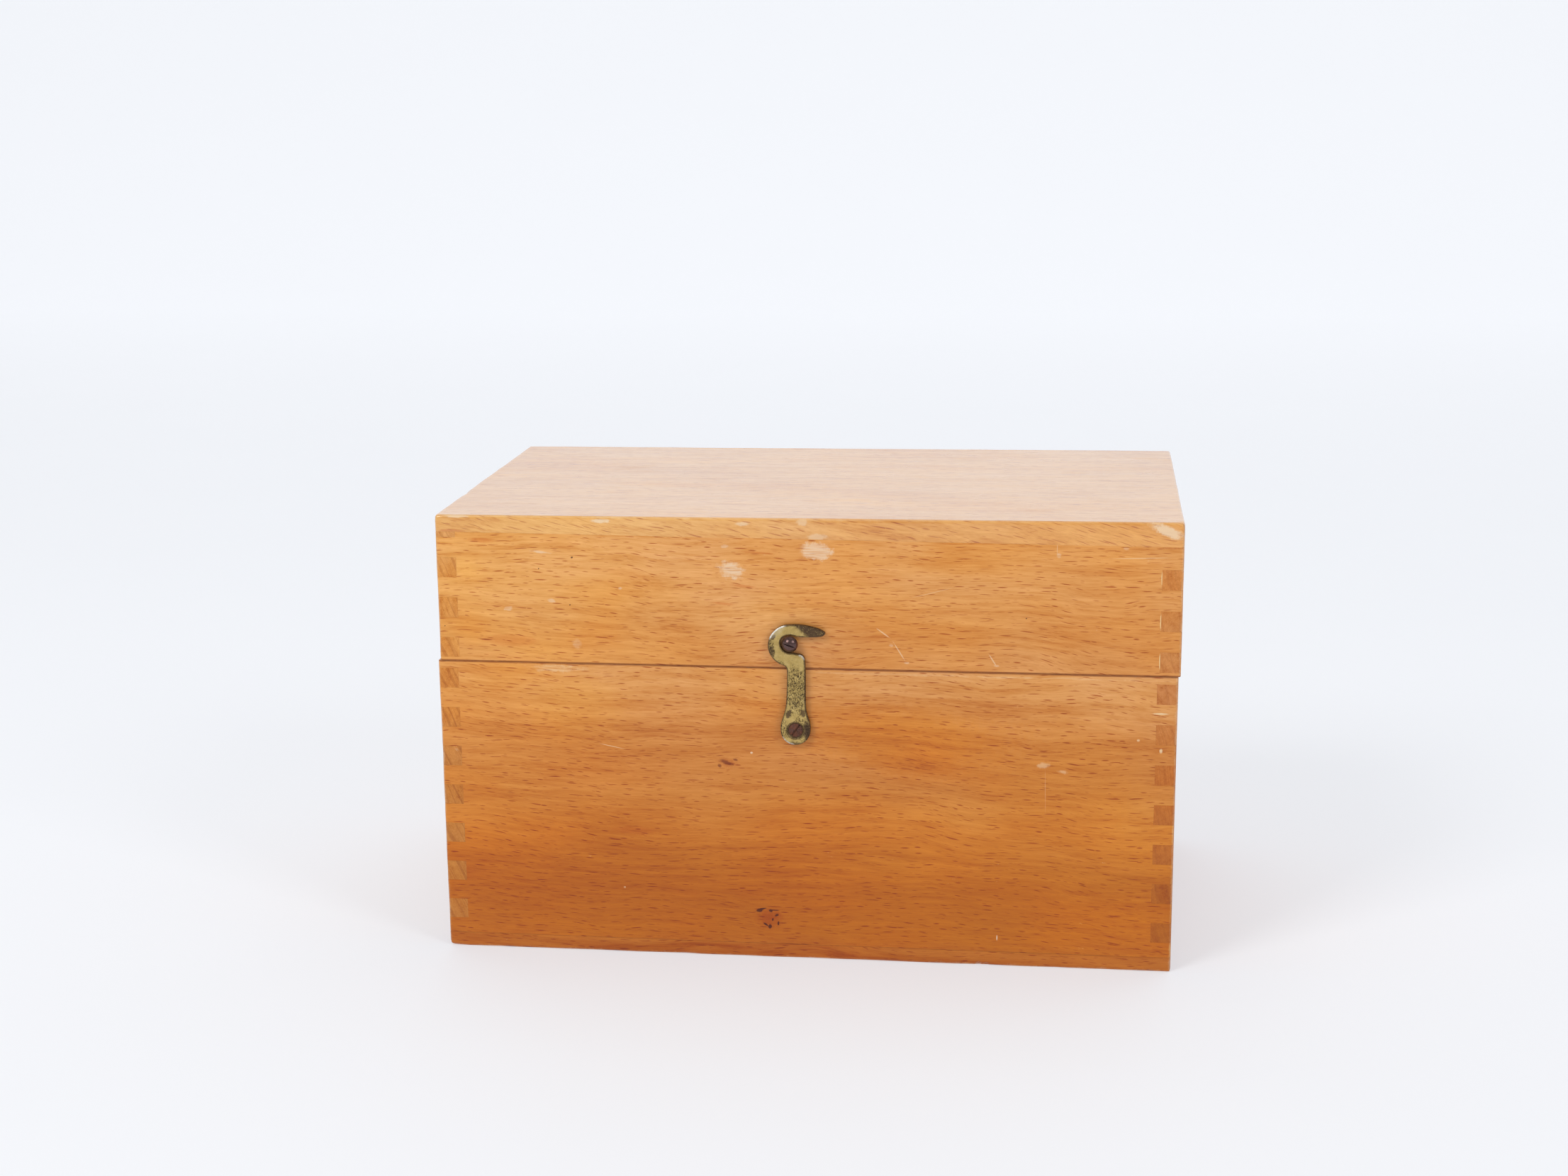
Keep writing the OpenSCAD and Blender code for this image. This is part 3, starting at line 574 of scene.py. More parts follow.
MATS = {}
MATS["base_front"] = beech("beech_base_front", (1, 0, 0), (0, 0.5, 0.87), (3, -51, 40), tilt=0.028, pith=(8, -62), seed=1.3,
                           by_height=scaled(BASE_RAMP, 0.99), marks=base_front_marks, tone=0.5)
MATS["base_back"] = beech("beech_base_back", (1, 0, 0), (0, -0.5, 0.87), (-20, 51, 30), tilt=-0.02, pith=(-14, 58), seed=4.7,
                          by_height=scaled(BASE_RAMP, 0.98), tone=0.48)
MATS["base_left"] = beech("beech_base_left", (0, 1, 0), (0.92, 0, 0.40), (-90, 10, 35), across_face=(0.55, 0, 0.83), tilt=0.02, pith=(60, 30), seed=7.2,
                          by_height=scaled(LEFT_RAMP, 1.08, (1, 1.03, 1.05)), end_tone=(0.99, 0.98, 0.96), end_rays=0.75, tone=0.5)
MATS["base_right"] = beech("beech_base_right", (0, 1, 0), (0.97, 0, 0.22), (90, -10, 35), across_face=(-0.55, 0, 0.83), tilt=-0.02, pith=(-60, 20), seed=9.9,
                           by_height=scaled(RIGHT_RAMP, 1.14, (1, 1.09, 1.14)), end_tone=(0.91, 0.84, 0.79), end_rays=0.35, tone=0.5)
MATS["base_bottom"] = beech("beech_base_bottom", (1, 0, 0), (0, 0.6, 0.8), (0, 0, 0), tilt=0.02, pith=(10, 48), seed=12.4,
                            by_height=[(0.0, under(181, 100, 42)), (1.2, under(187, 108, 48)), (4.0, under(189, 111, 50))], tone=0.5)
MATS["lid_front"] = beech("beech_lid_front", (1, 0, 0), (0, 0.5, 0.87), (1, -51, 90), tilt=0.022, pith=(-6, -58), seed=2.6,
                          by_height=scaled(LID_RAMP, 1.0), marks=lid_front_marks, tone=0.5, band=0.8)
MATS["lid_back"] = beech("beech_lid_back", (1, 0, 0), (0, -0.5, 0.87), (10, 51, 90), tilt=-0.025, pith=(16, 52), seed=5.1,
                         by_height=scaled(LID_RAMP, 0.98), tone=0.5)
MATS["lid_left"] = beech("beech_lid_left", (0, 1, 0), (0.92, 0, 0.40), (-90, 5, 90), across_face=(0.55, 0, 0.83), tilt=0.02, pith=(64, 24), seed=7.9,
                         by_height=scaled(LEFT_RAMP, 1.10, (1, 1.03, 1.08)), end_tone=(0.99, 0.98, 0.97), end_rays=0.7, tone=0.5)
MATS["lid_right"] = beech("beech_lid_right", (0, 1, 0), (0.97, 0, 0.22), (90, -5, 90), across_face=(-0.55, 0, 0.83), tilt=-0.02, pith=(-58, 22), seed=10.6,
                          by_height=scaled(RIGHT_RAMP, 1.12, (1, 1.08, 1.10)), end_tone=(0.94, 0.90, 0.87), end_rays=0.3, tone=0.5)
MATS["lid_top"] = beech("beech_lid_top", (1, 0, 0), (0, 0.62, 0.79), (0, 0, 108), front_slant=0.165, tilt=0.012, pith=(30, 40), seed=3.4,
                        by_height=[(104.0, under(228, 166, 96)), (108.0, under(232, 172, 102)), (112.0, under(233, 174, 104))],
                        marks=lid_top_marks, tone=0.52, dash=0.85, dash_len=1.35, gloss=0.06)
m = MATS["lid_top"].node_tree.nodes["Principled BSDF"]
m.inputs["Specular IOR Level"].default_value = 0.5
m.inputs["Coat Weight"].default_value = 0.8
m.inputs["Coat Roughness"].default_value = 0.12


# ------------------------------------------------------------------ boards
SEAM_GAP = 0.12
EDGE = (0.0, 0.12, 0.3, 0.52, 0.8, 1.2, 1.8, 2.7)


def spread(lo, hi, step, extra):
    """Sorted coordinates from lo to hi: every one in extra, and about one each step between them."""
    keep = sorted({round(e, 4) for e in extra if lo - 1e-6 <= e <= hi + 1e-6} | {lo, hi})
    out = []
    for p, q in zip(keep, keep[1:]):
        n = max(1, math.ceil((q - p) / step - 1e-6))
        out += [p + (q - p) * i / n for i in range(n)]
    return np.array(out + [hi])


def nz(P, size, seed=0.0):
    """Smooth noise from -1 to 1 at each point, with features of about that size in millimetres."""
    k = 1.0 / size
    return np.array([noise.noise((x * k + seed, y * k - seed, z * k + 2 * seed)) for x, y, z in P])


def round_pair(A, B, r):
    """A and B are distances inside two faces that meet in an edge of radius r. Points outside the arc move onto it."""
    qa, qb = r - A, r - B
    L = np.hypot(np.maximum(qa, 0), np.maximum(qb, 0))
    m = (qa > 0) & (qb > 0) & (L > r)
    k = np.where(m, r / np.maximum(L, 1e-9), 1.0)
    return np.where(m, r - qa * k, A), np.where(m, r - qb * k, B)


def bands_of(lid):
    return LID_BANDS if lid else BASE_BANDS


def in_bands(z, lid):
    m = np.zeros(z.shape, bool)
    for lo, hi in bands_of(lid):
        m |= (z > lo) & (z < hi)
    return m


def seam_at(x):
    return SEAM_L + (SEAM_R - SEAM_L) * (x + HW) / (2 * HW)


def top_at(x):
    return TOP_L + (TOP_R - TOP_L) * (x + HW) / (2 * HW)


DENTS = [  # place, radius, depth: small bruises and chips, mostly along edges
    ((43.4, -51.0, 0.0), 1.1, 0.55), ((45.2, -51.0, 0.1), 0.9, 0.45), ((-87.5, -51.0, 3.0), 1.6, 0.25),
    ((-30.0, -51.0, 0.2), 1.2, 0.25), ((71.0, -51.0, 0.1), 1.4, 0.25), ((-89.5, -50.6, 84.0), 1.0, 0.2), ((90.2, -50.8, 96.0), 1.2, 0.2),
    ((90.0, -51.0, 111.6), 1.8, 0.3), ((-89.4, -51.0, 110.9), 1.6, 0.2), ((-89.9, -51.0, 50.0), 1.2, 0.2), ((89.9, -51.0, 31.0), 1.3, 0.2),
    ((89.9, 51.0, 60.0), 1.4, 0.3), ((-89.9, 51.0, 92.0), 1.3, 0.25), ((-20.0, 51.0, 111.0), 1.6, 0.3), ((40.0, 51.0, 0.2), 1.5, 0.3),
    ((90.4, 12.0, 111.6), 1.5, 0.3), ((-89.4, -22.0, 110.9), 1.4, 0.25), ((-90.0, 20.0, 0.4), 1.6, 0.3),
]


def shape(P, lid):
    """Where each grid point of the closed box's boards really lies, and how worn its edge is."""
    X, Y, Z = P[:, 0].copy(), P[:, 1].copy(), P[:, 2].copy()
    sx, sy = np.sign(X), np.sign(Y)
    out_x, out_y = np.abs(np.abs(X) - HW) < 1e-4, np.abs(np.abs(Y) - HD) < 1e-4
    seam_z = np.zeros(len(P), bool)
    bz = [v for b in bands_of(lid) for v in b]
    for v in bz:
        seam_z |= np.abs(Z - v) < 1e-4
    inb = in_bands(Z, lid)
    edge_b = seam_z | inb
    at85, at46 = np.abs(np.abs(X) - (HW - WALL)) < 1e-4, np.abs(np.abs(Y) - (HD - WALL)) < 1e-4
    corner_x, corner_y = np.abs(X) > HW - WALL - 1e-4, np.abs(Y) > HD - WALL - 1e-4
    low_z, high_z = (PART, SEAM_L) if lid else (BOTTOM, PART)
    in_wall = (Z > low_z + 1e-4) & (Z < high_z - 1e-4)
    # thin joint lines on the outer faces
    finger = in_wall & ((seam_z & out_y & corner_x) | (seam_z & out_x & corner_y) | (at85 & out_y & edge_b) | (at46 & out_x & ~(inb & ~seam_z)))
    glue = np.abs(Z - (SEAM_L if lid else BOTTOM)) < 1e-4
    glue &= out_x | out_y
    parting = (np.abs(Z - PART) < 1e-4) & (out_x | out_y)
    wob = nz(P, 9.0, 3.0)
    wob2 = nz(P, 3.0, 8.0)
    # slope of the lid's seam and top
    if lid:
        zs, zt = seam_at(X), top_at(X)
        Z = np.where(Z > SEAM_L + 1e-6, zs + (Z - SEAM_L) * (zt - zs) / (TOP_L - SEAM_L),
                     np.where(Z > 105.4, 105.4 + (Z - 105.4) * (zs - 105.4) / (SEAM_L - 105.4), Z))
    # distances inside the outer faces
    dx, dy = HW - np.abs(X), HD - np.abs(Y)
    vr = np.clip(0.9 + 0.30 * wob + 0.14 * wob2, 0.45, 1.5)
    wear = np.exp(-np.maximum(dx, dy) / 0.8)
    if lid:
        dt = zt - Z
        tr = np.clip(0.72 + 0.26 * wob + 0.12 * wob2, 0.4, 1.2)
        pr = np.clip(0.2 + 0.10 * wob2, 0.1, 0.34)
        dp = Z - PART
        wear = np.maximum(wear, np.exp(-np.maximum(dt, np.minimum(dx, dy)) / 0.8))
        wear = np.maximum(wear, 0.55 * np.exp(-np.maximum(dp, np.minimum(dx, dy)) / 0.45))
        dx, dy = round_pair(dx, dy, vr)
        dx, dt = round_pair(dx, dt, tr)
        dy, dt = round_pair(dy, dt, tr)
        dx, dp = round_pair(dx, dp, pr)
        dy, dp = round_pair(dy, dp, pr)
        Z = np.where(dt != zt - Z, zt - dt, PART + dp)
    else:
        dp = PART - Z
        db = Z.copy()
        pr = np.clip(0.24 + 0.12 * wob2, 0.12, 0.42)
        br = np.where(X < -80, np.clip(1.7 + 0.15 * wob2, 1.2, 2.0), np.clip(0.75 + 0.28 * wob + 0.15 * wob2, 0.4, 1.2))
        bry = np.clip(0.75 + 0.28 * wob + 0.15 * wob2, 0.4, 1.2) + 0.5 * np.clip((-X - 84) / 6, 0, 1)
        wear = np.maximum(wear, np.exp(-np.maximum(db, np.minimum(dx, dy)) / 0.8))
        wear = np.maximum(wear, 0.75 * np.exp(-np.maximum(dp, np.minimum(dx, dy)) / 0.5))
        dx, dy = round_pair(dx, dy, vr)
        dx, db = round_pair(dx, db, br)
        dy, db = round_pair(dy, db, bry)
        dx, dp = round_pair(dx, dp, pr)
        dy, dp = round_pair(dy, dp, pr)
        Z = np.where(db != Z, db, PART - dp)
    # inner edges of the two rims
    ir = 0.16
    iy, ix = np.abs(P[:, 1]) - (HD - WALL), np.abs(P[:, 0]) - (HW - WALL)
    dp2 = np.abs(Z - PART)
    side = 1.0 if lid else -1.0
    my = (np.abs(P[:, 0]) <= HW - WALL + 1e-4) & (iy >= -1e-4) & (iy < ir) & (dp2 < ir)
    a, b = round_pair(iy, dp2, ir)
    dy = np.where(my, WALL - a, dy)
    Z = np.where(my, PART + side * b, Z)
    mx = (np.abs(P[:, 1]) <= HD - WALL + 1e-4) & (ix >= -1e-4) & (ix < ir) & (dp2 < ir)
    a, b = round_pair(ix, dp2, ir)
    dx = np.where(mx, WALL - a, dx)
    Z = np.where(mx, PART + side * b, Z)
    # grooves along the joints, slight hollows in the faces, and dents
    groove = np.where(finger, 0.025 + 0.02 * wob2, 0.0) + np.where(glue, (0.03 if lid else 0.05) + 0.03 * wob2, 0.0)
    hollow = 0.035 * (0.5 + 0.5 * nz(P, 28.0, 5.0))
    flat_x, flat_y = out_x & (dy > 1.3), out_y & (dx > 1.3)
    dx = dx + np.where(out_x, np.maximum(groove, 0), 0) + np.where(flat_x, hollow, 0)
    dy = dy + np.where(out_y, np.maximum(groove, 0), 0) + np.where(flat_y, hollow, 0)
    if lid:
        top = np.abs(P[:, 2] - TOP_L) < 1e-4
        Z = Z - np.where(top & (np.minimum(dx, dy) > 1.3), 0.05 * (0.5 + 0.5 * nz(P, 34.0, 6.0)), 0)
    X, Y = sx * (HW - dx), sy * (HD - dy)
    mid = np.array([0.0, 0.0, 60.0])
    for (cx, cy, cz), r, depth in DENTS:
        cx -= SHIFT if lid else 0.0
        d = np.sqrt((X - cx) ** 2 + (Y - cy) ** 2 + (Z - cz) ** 2) / r
        f = depth * np.clip(1 - d * d, 0, 1) ** 2
        if f.any():
            t = np.array([-np.sign(cx) if abs(cx) > 88 else 0.0, -np.sign(cy) if abs(cy) > 50 else 0.0,
                          1.0 if cz < 2 else (-1.0 if cz > 109 else 0.0)])
            t /= np.linalg.norm(t)
            X, Y, Z = X + t[0] * f, Y + t[1] * f, Z + t[2] * f
    seam = np.where(finger, 0.07 + 0.26 * np.clip(nz(P, 4.0, 11.0) + 0.1, 0, 1), 0.0)
    seam = np.maximum(seam, np.where(glue, (0.12 + 0.22 * wob) if lid else (0.55 + 0.4 * wob2), 0.0))
    # the parting line gets a nearly full seam value, which the wood paints nearly black: painted shade of the gap
    # between lid and base
    seam = np.maximum(seam, np.where(parting, 0.95, 0.0))
    return np.stack([X + (SHIFT if lid else 0.0), Y, Z], 1), np.clip(seam, 0, 1), np.clip(wear, 0, 1)


def grid_mesh(name, xs, ys, zs, inside, lid, grain_axis, material):
    """The skin of the grid cells that inside() picks, shaped as the real board."""
    cx, cy, cz = ((c[1:] + c[:-1]) / 2 for c in (xs, ys, zs))
    occ = inside(*np.meshgrid(cx, cy, cz, indexing="ij"))
    ny, nzz = len(ys), len(zs)
    at = lambda i, j, k: (i * ny + j) * nzz + k
    quads, axes, inner = [], [], []
    for ax in range(3):
        pad = [(0, 0)] * 3
        pad[ax] = (1, 1)
        o = np.pad(occ, pad)
        lo = o[tuple(slice(0, -1) if d == ax else slice(None) for d in range(3))]
        hi = o[tuple(slice(1, None) if d == ax else slice(None) for d in range(3))]
        for up in (True, False):
            i, j, k = np.nonzero(lo & ~hi if up else hi & ~lo)
            if not len(i):
                continue
            if ax == 0:
                q = [at(i, j, k), at(i, j + 1, k), at(i, j + 1, k + 1), at(i, j, k + 1)]
                v, lim = xs[i], HW
            elif ax == 1:
                q = [at(i, j, k), at(i, j, k + 1), at(i + 1, j, k + 1), at(i + 1, j, k)]
                v, lim = ys[j], HD
            else:
                q = [at(i, j, k), at(i + 1, j, k), at(i + 1, j + 1, k), at(i, j + 1, k)]
                v, lim = zs[k], None
            q = np.stack(q if up else q[::-1], 1)
            quads.append(q)
            axes.append(np.full(len(i), 1.0 if ax == grain_axis else 0.0))
            if lim is not None:
                inner.append((np.abs(v) < lim - 0.01).astype(float))
            else:
                outer = (v < 0.01) | (v > TOP_L - 0.01)
                inner.append(np.where(outer, 0.0, np.where(np.abs(v - PART) < 0.01, 0.7, 1.0)))
    quads = np.concatenate(quads)
    eg, ins = np.concatenate(axes), np.concatenate(inner)
    used, idx = np.unique(quads, return_inverse=True)
    quads = idx.reshape(quads.shape)
    i, r = np.divmod(used, ny * nzz)
    j, k = np.divmod(r, nzz)
    P = np.stack([xs[i], ys[j], zs[k]], 1)
    W, seam, wear = shape(P, lid)
    me = bpy.data.meshes.new(name)
    me.from_pydata((W * MM).tolist(), [], quads.tolist())
    for an, dom, val in (("seam", "POINT", seam), ("wear", "POINT", wear), ("eg", "FACE", eg), ("ins", "FACE", ins)):
        me.attributes.new(an, "FLOAT", dom).data.foreach_set("value", val.astype(np.float32))
    me.polygons.foreach_set("use_smooth", [True] * len(me.polygons))
    me.update()
    me.set_sharp_from_angle(angle=math.radians(34))
    me.materials.append(material)
    ob = bpy.data.objects.new(name, me)
    scene.collection.objects.link(ob)
    return ob


def mirror(vals):
    return [s * v for v in vals for s in (-1, 1)]


X_LINES = mirror([HW - e for e in EDGE] + [HW - WALL - SEAM_GAP, HW - WALL, HW - WALL + SEAM_GAP]) + [41.6, 42.1, 42.6, 43.0, 43.4, 43.8, 44.2, 44.7, 45.1, 45.5, 46.0, 46.6]
Y_LINES = mirror([HD - e for e in EDGE] + [HD - WALL - SEAM_GAP, HD - WALL, HD - WALL + SEAM_GAP])


def z_lines(lid):
    z = [v + s for b in bands_of(lid) for v in b for s in (-SEAM_GAP, 0, SEAM_GAP)]
    if lid:
        z = [v for v in z if v < 105.45]
        z += [PART, PART + 0.1, PART + 0.24, PART + 0.5, 105.52, 105.7, 106.3, SEAM_L - 0.3, SEAM_L]
    else:
        z += [BOTTOM, BOTTOM + SEAM_GAP, BOTTOM + 0.4, PART - 0.6, PART - 0.35, PART - 0.2, PART - 0.08, PART]
    return z


def board(name, node, body, mat, which, lid, xr, yr, zr, grain_axis, step=4.0):
    xs, ys, zs = spread(*xr, step, X_LINES), spread(*yr, step, Y_LINES), spread(*zr, step, which)
    def inside(x, y, z):
        m = (x > xr[0]) & (x < xr[1]) & (y > yr[0]) & (y < yr[1]) & (z > zr[0]) & (z < zr[1])
        b = in_bands(z, lid)
        if node.endswith("front_board") or node.endswith("back_board"):
            m &= ~((np.abs(x) > HW - WALL) & b)
        elif node.endswith("left_board") or node.endswith("right_board"):
            m &= (np.abs(y) < HD - WALL) | b
        return m
    ob = grid_mesh(name, xs, ys, zs, inside, lid, grain_axis, mat)
    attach(ob, body)
    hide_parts(node)
    return ob


LONG, DEEP = (-HW, HW), (-HD, HD)
BZ, LZ = (BOTTOM, PART), (PART, SEAM_L)
board("base_front_wall", "base_front_board", "base", MATS["base_front"], z_lines(False), False, LONG, (-HD, -HD + WALL), BZ, 0)
board("base_back_wall", "base_back_board", "base", MATS["base_back"], z_lines(False), False, LONG, (HD - WALL, HD), BZ, 0)
board("base_left_wall", "base_left_board", "base", MATS["base_left"], z_lines(False), False, (-HW, -HW + WALL), DEEP, BZ, 1)
board("base_right_wall", "base_right_board", "base", MATS["base_right"], z_lines(False), False, (HW - WALL, HW), DEEP, BZ, 1)
board("base_floor_panel", "base_bottom_panel", "base", MATS["base_bottom"],
      [0, 0.12, 0.3, 0.5, 0.8, 1.2, 1.7, 2.3, BOTTOM - 0.4, BOTTOM - SEAM_GAP, BOTTOM], False, LONG, DEEP, (0.0, BOTTOM), 0)
board("lid_front_wall", "lid_front_board", "lid", MATS["lid_front"], z_lines(True), True, LONG, (-HD, -HD + WALL), LZ, 0)
board("lid_back_wall", "lid_back_board", "lid", MATS["lid_back"], z_lines(True), True, LONG, (HD - WALL, HD), LZ, 0)
board("lid_left_wall", "lid_left_board", "lid", MATS["lid_left"], z_lines(True), True, (-HW, -HW + WALL), DEEP, LZ, 1)
board("lid_right_wall", "lid_right_board", "lid", MATS["lid_right"], z_lines(True), True, (HW - WALL, HW), DEEP, LZ, 1)
board("lid_top_board", "lid_top_panel", "lid", MATS["lid_top"],
      [SEAM_L, SEAM_L + 0.15, SEAM_L + 0.5, TOP_L - 1.8, TOP_L - 1.2, TOP_L - 0.8, TOP_L - 0.52, TOP_L - 0.3, TOP_L - 0.12, TOP_L], True, LONG, DEEP, (SEAM_L, TOP_L), 0)


# ------------------------------------------------------------------ metal
def smooth(me, angle=32):
    me.polygons.foreach_set("use_smooth", [True] * len(me.polygons))
    me.update()
    me.set_sharp_from_angle(angle=math.radians(angle))


def mesh_object(name, verts, faces, mat, angle=32):
    me = bpy.data.meshes.new(name)
    me.from_pydata(verts, [], faces)
    me.validate()
    smooth(me, angle)
    me.materials.append(mat)
    ob = bpy.data.objects.new(name, me)
    scene.collection.objects.link(ob)
    return ob


def brass(name, seed=1.0, base=(0.52, 0.37, 0.125), dark=(0.045, 0.028, 0.018), pits=0.5, rough=0.36, metal=0.45, rust=0.0, size=1.0):
    """Old plating: tarnished in clouds, eaten into pits, and rusty where rust is above 0."""
    g = Graph(name)
    P = g.place()
    n1 = g.noise(P, 0.35, 4.0, 0.6, seed=seed)
    n2 = g.noise(P, 1.6, 4.0, 0.65, seed=seed + 2)
    n3 = g.noise(P, 7.0, 3.0, 0.6, seed=seed + 4)
    c1 = g.cells(g.vec("ADD", g.vec("SCALE", P, scale=2.4 / size), (seed, 0, 0)))
    c2 = g.cells(g.vec("ADD", g.vec("SCALE", P, scale=5.2 / size), (0, seed, 0)))
    col = g.ramp(n2, [(0.25, tuple(c * 0.74 for c in base)), (0.5, base), (0.75, tuple(min(1, c * 1.28) for c in base))])
    tarnish = g.step(g.mad(g.sub(n2, 0.5), 0.6, n1), 0.66 - 0.3 * pits, 0.90 - 0.3 * pits)
    pit1 = g.mul(g.step(c1["Distance"], 0.42, 0.26), g.step(n1, 0.62 - 0.3 * pits, 0.70 - 0.3 * pits))
    pit2 = g.mul(g.step(c2["Distance"], 0.40, 0.22), g.step(n2, 0.66 - 0.3 * pits, 0.74 - 0.3 * pits))
    pit = g.top(pit1, pit2)
    col = g.mix(g.mul(tarnish, 0.55), col, tuple(c * k for c, k in zip(base, (0.50, 0.42, 0.36))))
    col = g.mix(g.mul(pit, 0.92), col, dark)
    flake = 0.0
    if rust:
        flake = g.step(g.mad(g.sub(n3, 0.5), 0.5, n2), 0.72 - 0.35 * rust, 0.84 - 0.35 * rust)
        col = g.mix(g.mul(flake, 0.85), col, g.mix(n3, (0.085, 0.028, 0.015), (0.25, 0.085, 0.040)))
        pit = g.top(pit, g.mul(flake, 0.6))
    g.put(g.bsdf.inputs["Base Color"], col)
    g.put(g.bsdf.inputs["Metallic"], g.step(pit, 0.0, 1.0, metal, 0.05, smooth=False))
    r = g.mad(pit, 0.35, g.mad(g.sub(n3, 0.5), 0.18, g.mad(tarnish, 0.14, rough)))
    g.put(g.bsdf.inputs["Roughness"], g.math("ADD", r, 0.0, clamp=True))
    h = g.mad(pit, -1.0, g.mad(g.sub(n3, 0.5), 0.4, g.mul(g.sub(n2, 0.5), 0.5)))
    g.put(g.bsdf.inputs["Normal"], g.bump(h, 0.00006))
    return g.mat


def hook_plating():
    """The hook's plating: olive brass, eaten through on the shank, the tip and round the eye."""
    g = Graph("old_brass_hook")
    P = g.place()
    x, y, z = g.split(P)
    hx, hz = g.sub(x, HOOK_X), g.sub(z, HOOK_Z)
    n0 = g.noise(P, 0.28, 3.0, 0.6, seed=2.3)
    n1 = g.noise(P, 0.9, 4.0, 0.65, seed=4.1)
    n2 = g.noise(P, 3.0, 4.0, 0.7, seed=6.7)
    n3 = g.noise(P, 9.0, 2.0, 0.5, seed=8.8)
    col = g.ramp(n1, [(0.28, (0.40, 0.272, 0.086)), (0.5, (0.515, 0.362, 0.120)), (0.74, (0.62, 0.455, 0.180))])
    col = g.mix(g.mul(g.step(n2, 0.45, 0.75), 0.25), col, (0.40, 0.25, 0.075))
    # how far the plating is eaten: dense down the shank, patchy round the eye, sparse in the bowl
    dense = g.blot(hx, hz, (0.3, 10.4), (3.6, 7.6), 0, 0.4, n1, 0.3)
    dense = g.top(dense, g.mul(g.blot(hx, hz, (1.4, 0.2), (3.4, 4.4), 0, 0.6, n1, 0.4), 0.9))
    dense = g.top(dense, g.mul(g.blot(hx, hz, (-2.8, 0.6), (1.8, 3.8), 10, 0.5, n1, 0.5), 0.8))
    dense = g.top(dense, g.mul(g.blot(hx, hz, (-5.9, 20.6), (1.6, 3.4), 8, 0.6, n1, 0.4), 1.0))
    dense = g.top(dense, g.mul(g.blot(hx, hz, (-3.4, 16.7), (2.4, 1.0), -30, 0.6, n1, 0.4), 0.8))
    rimd = g.attr("rim")
    # a little denser along the outline
    dense = g.top(dense, g.mul(g.step(rimd, 0.44, 0.25), g.step(n1, 0.44, 0.58, 0.25, 0.95)))
    field = g.mad(dense, 0.35, g.mad(g.sub(n0, 0.5), 0.36, 0.11))
    wx, wz = g.mad(g.sub(n2, 0.5), 0.55, x), g.mad(g.sub(n3, 0.5), 0.45, z)
    def pits(sx, sz, lean, off, k=1.0):
        c = g.cells(g.xyz(g.mul(g.mad(wz, lean, wx), sx), g.mul(y, 0.8), g.mad(wz, sz, off)))
        r1, r2, r3 = g.split(c["Color"])
        return g.mul(g.step(g.sub(g.sub(field, c["Distance"]), g.mul(r1, 0.22)), -0.06, 0.06), g.mad(r2, 0.35 * k, 1.0 - 0.35 * k))
    pit = g.top(pits(2.5, 1.45, -0.25, 0.0), g.top(pits(3.9, 2.4, 0.2, 7.3), g.mul(pits(6.0, 4.2, 0.1, 3.9), 0.7)))
    # bare and dark: the tip of the arm, the right of the eye, the left of the bowl, and along the edges; the
    # countersink of the eye is darkened as painted shade
    tip = g.step(g.mad(g.sub(n2, 0.5), 3.6, g.mad(g.sub(hz, 24.2), 1.1, hx)), 1.3, 3.0)
    tip = g.mul(tip, g.step(hz, 21.5, 22.5))
    tip = g.mul(tip, g.step(n2, 0.66, 0.54, 0.35, 1.0))
    eye = g.blot(hx, hz, (3.2, -0.5), (1.7, 4.0), 8, 0.55, n2, 0.6)
    bowl = g.mul(g.blot(hx, hz, (-5.7, 19.6), (1.0, 2.2), 6, 0.6, n2, 0.7), 0.8)
    foot = g.mul(g.blot(hx, hz, (-0.6, -3.4), (2.8, 0.9), 0, 0.7, n2, 0.8), 0.8)
    blotch = g.mul(g.blot(hx, hz, (-1.6, 4.2), (0.8, 1.4), -25, 0.35, n2, 0.9), 0.9)
    blotch = g.top(blotch, g.mul(g.blot(hx, hz, (1.9, 4.4), (0.7, 1.2), 15, 0.35, n2, 0.9), 0.85))
    blotch = g.top(blotch, g.mul(g.blot(hx, hz, (-5.2, 23.2), (0.5, 1.0), -35, 0.35, n2, 0.9), 0.8))
    side = g.step(y, HOOK_BACK - HOOK_T + 0.20, HOOK_BACK - HOOK_T + 0.34)
    edge = g.step(y, HOOK_BACK - HOOK_T + 0.002, HOOK_BACK - HOOK_T + 0.06)
    rim = g.mul(edge, g.step(n2, 0.34, 0.54, 0.55, 1.0))
    line = g.mul(g.step(g.mad(g.sub(n2, 0.5), 0.42, rimd), 0.42, 0.20), g.step(n1, 0.36, 0.52, 0.6, 1.0))
    # painted shade: the countersink round the pivot screw is darkened
    countersink_shade = g.mul(g.step(g.math("SQRT", g.mad(hx, hx, g.mul(hz, hz))), 2.45, 2.2), g.step(n2, 0.40, 0.60, 0.45, 0.95))
    rim = g.top(rim, g.top(line, countersink_shade))
    dark = g.top(g.top(tip, eye), g.top(g.top(bowl, foot), g.top(blotch, g.top(g.mul(side, 0.95), g.mul(rim, 0.85)))))
    col = g.mix(g.mul(dark, 0.94), col, g.mix(n3, (0.024, 0.012, 0.008), (0.092, 0.043, 0.024)))
    col = g.mix(g.mul(pit, 0.95), col, g.mix(n3, (0.026, 0.014, 0.008), (0.060, 0.032, 0.014)))
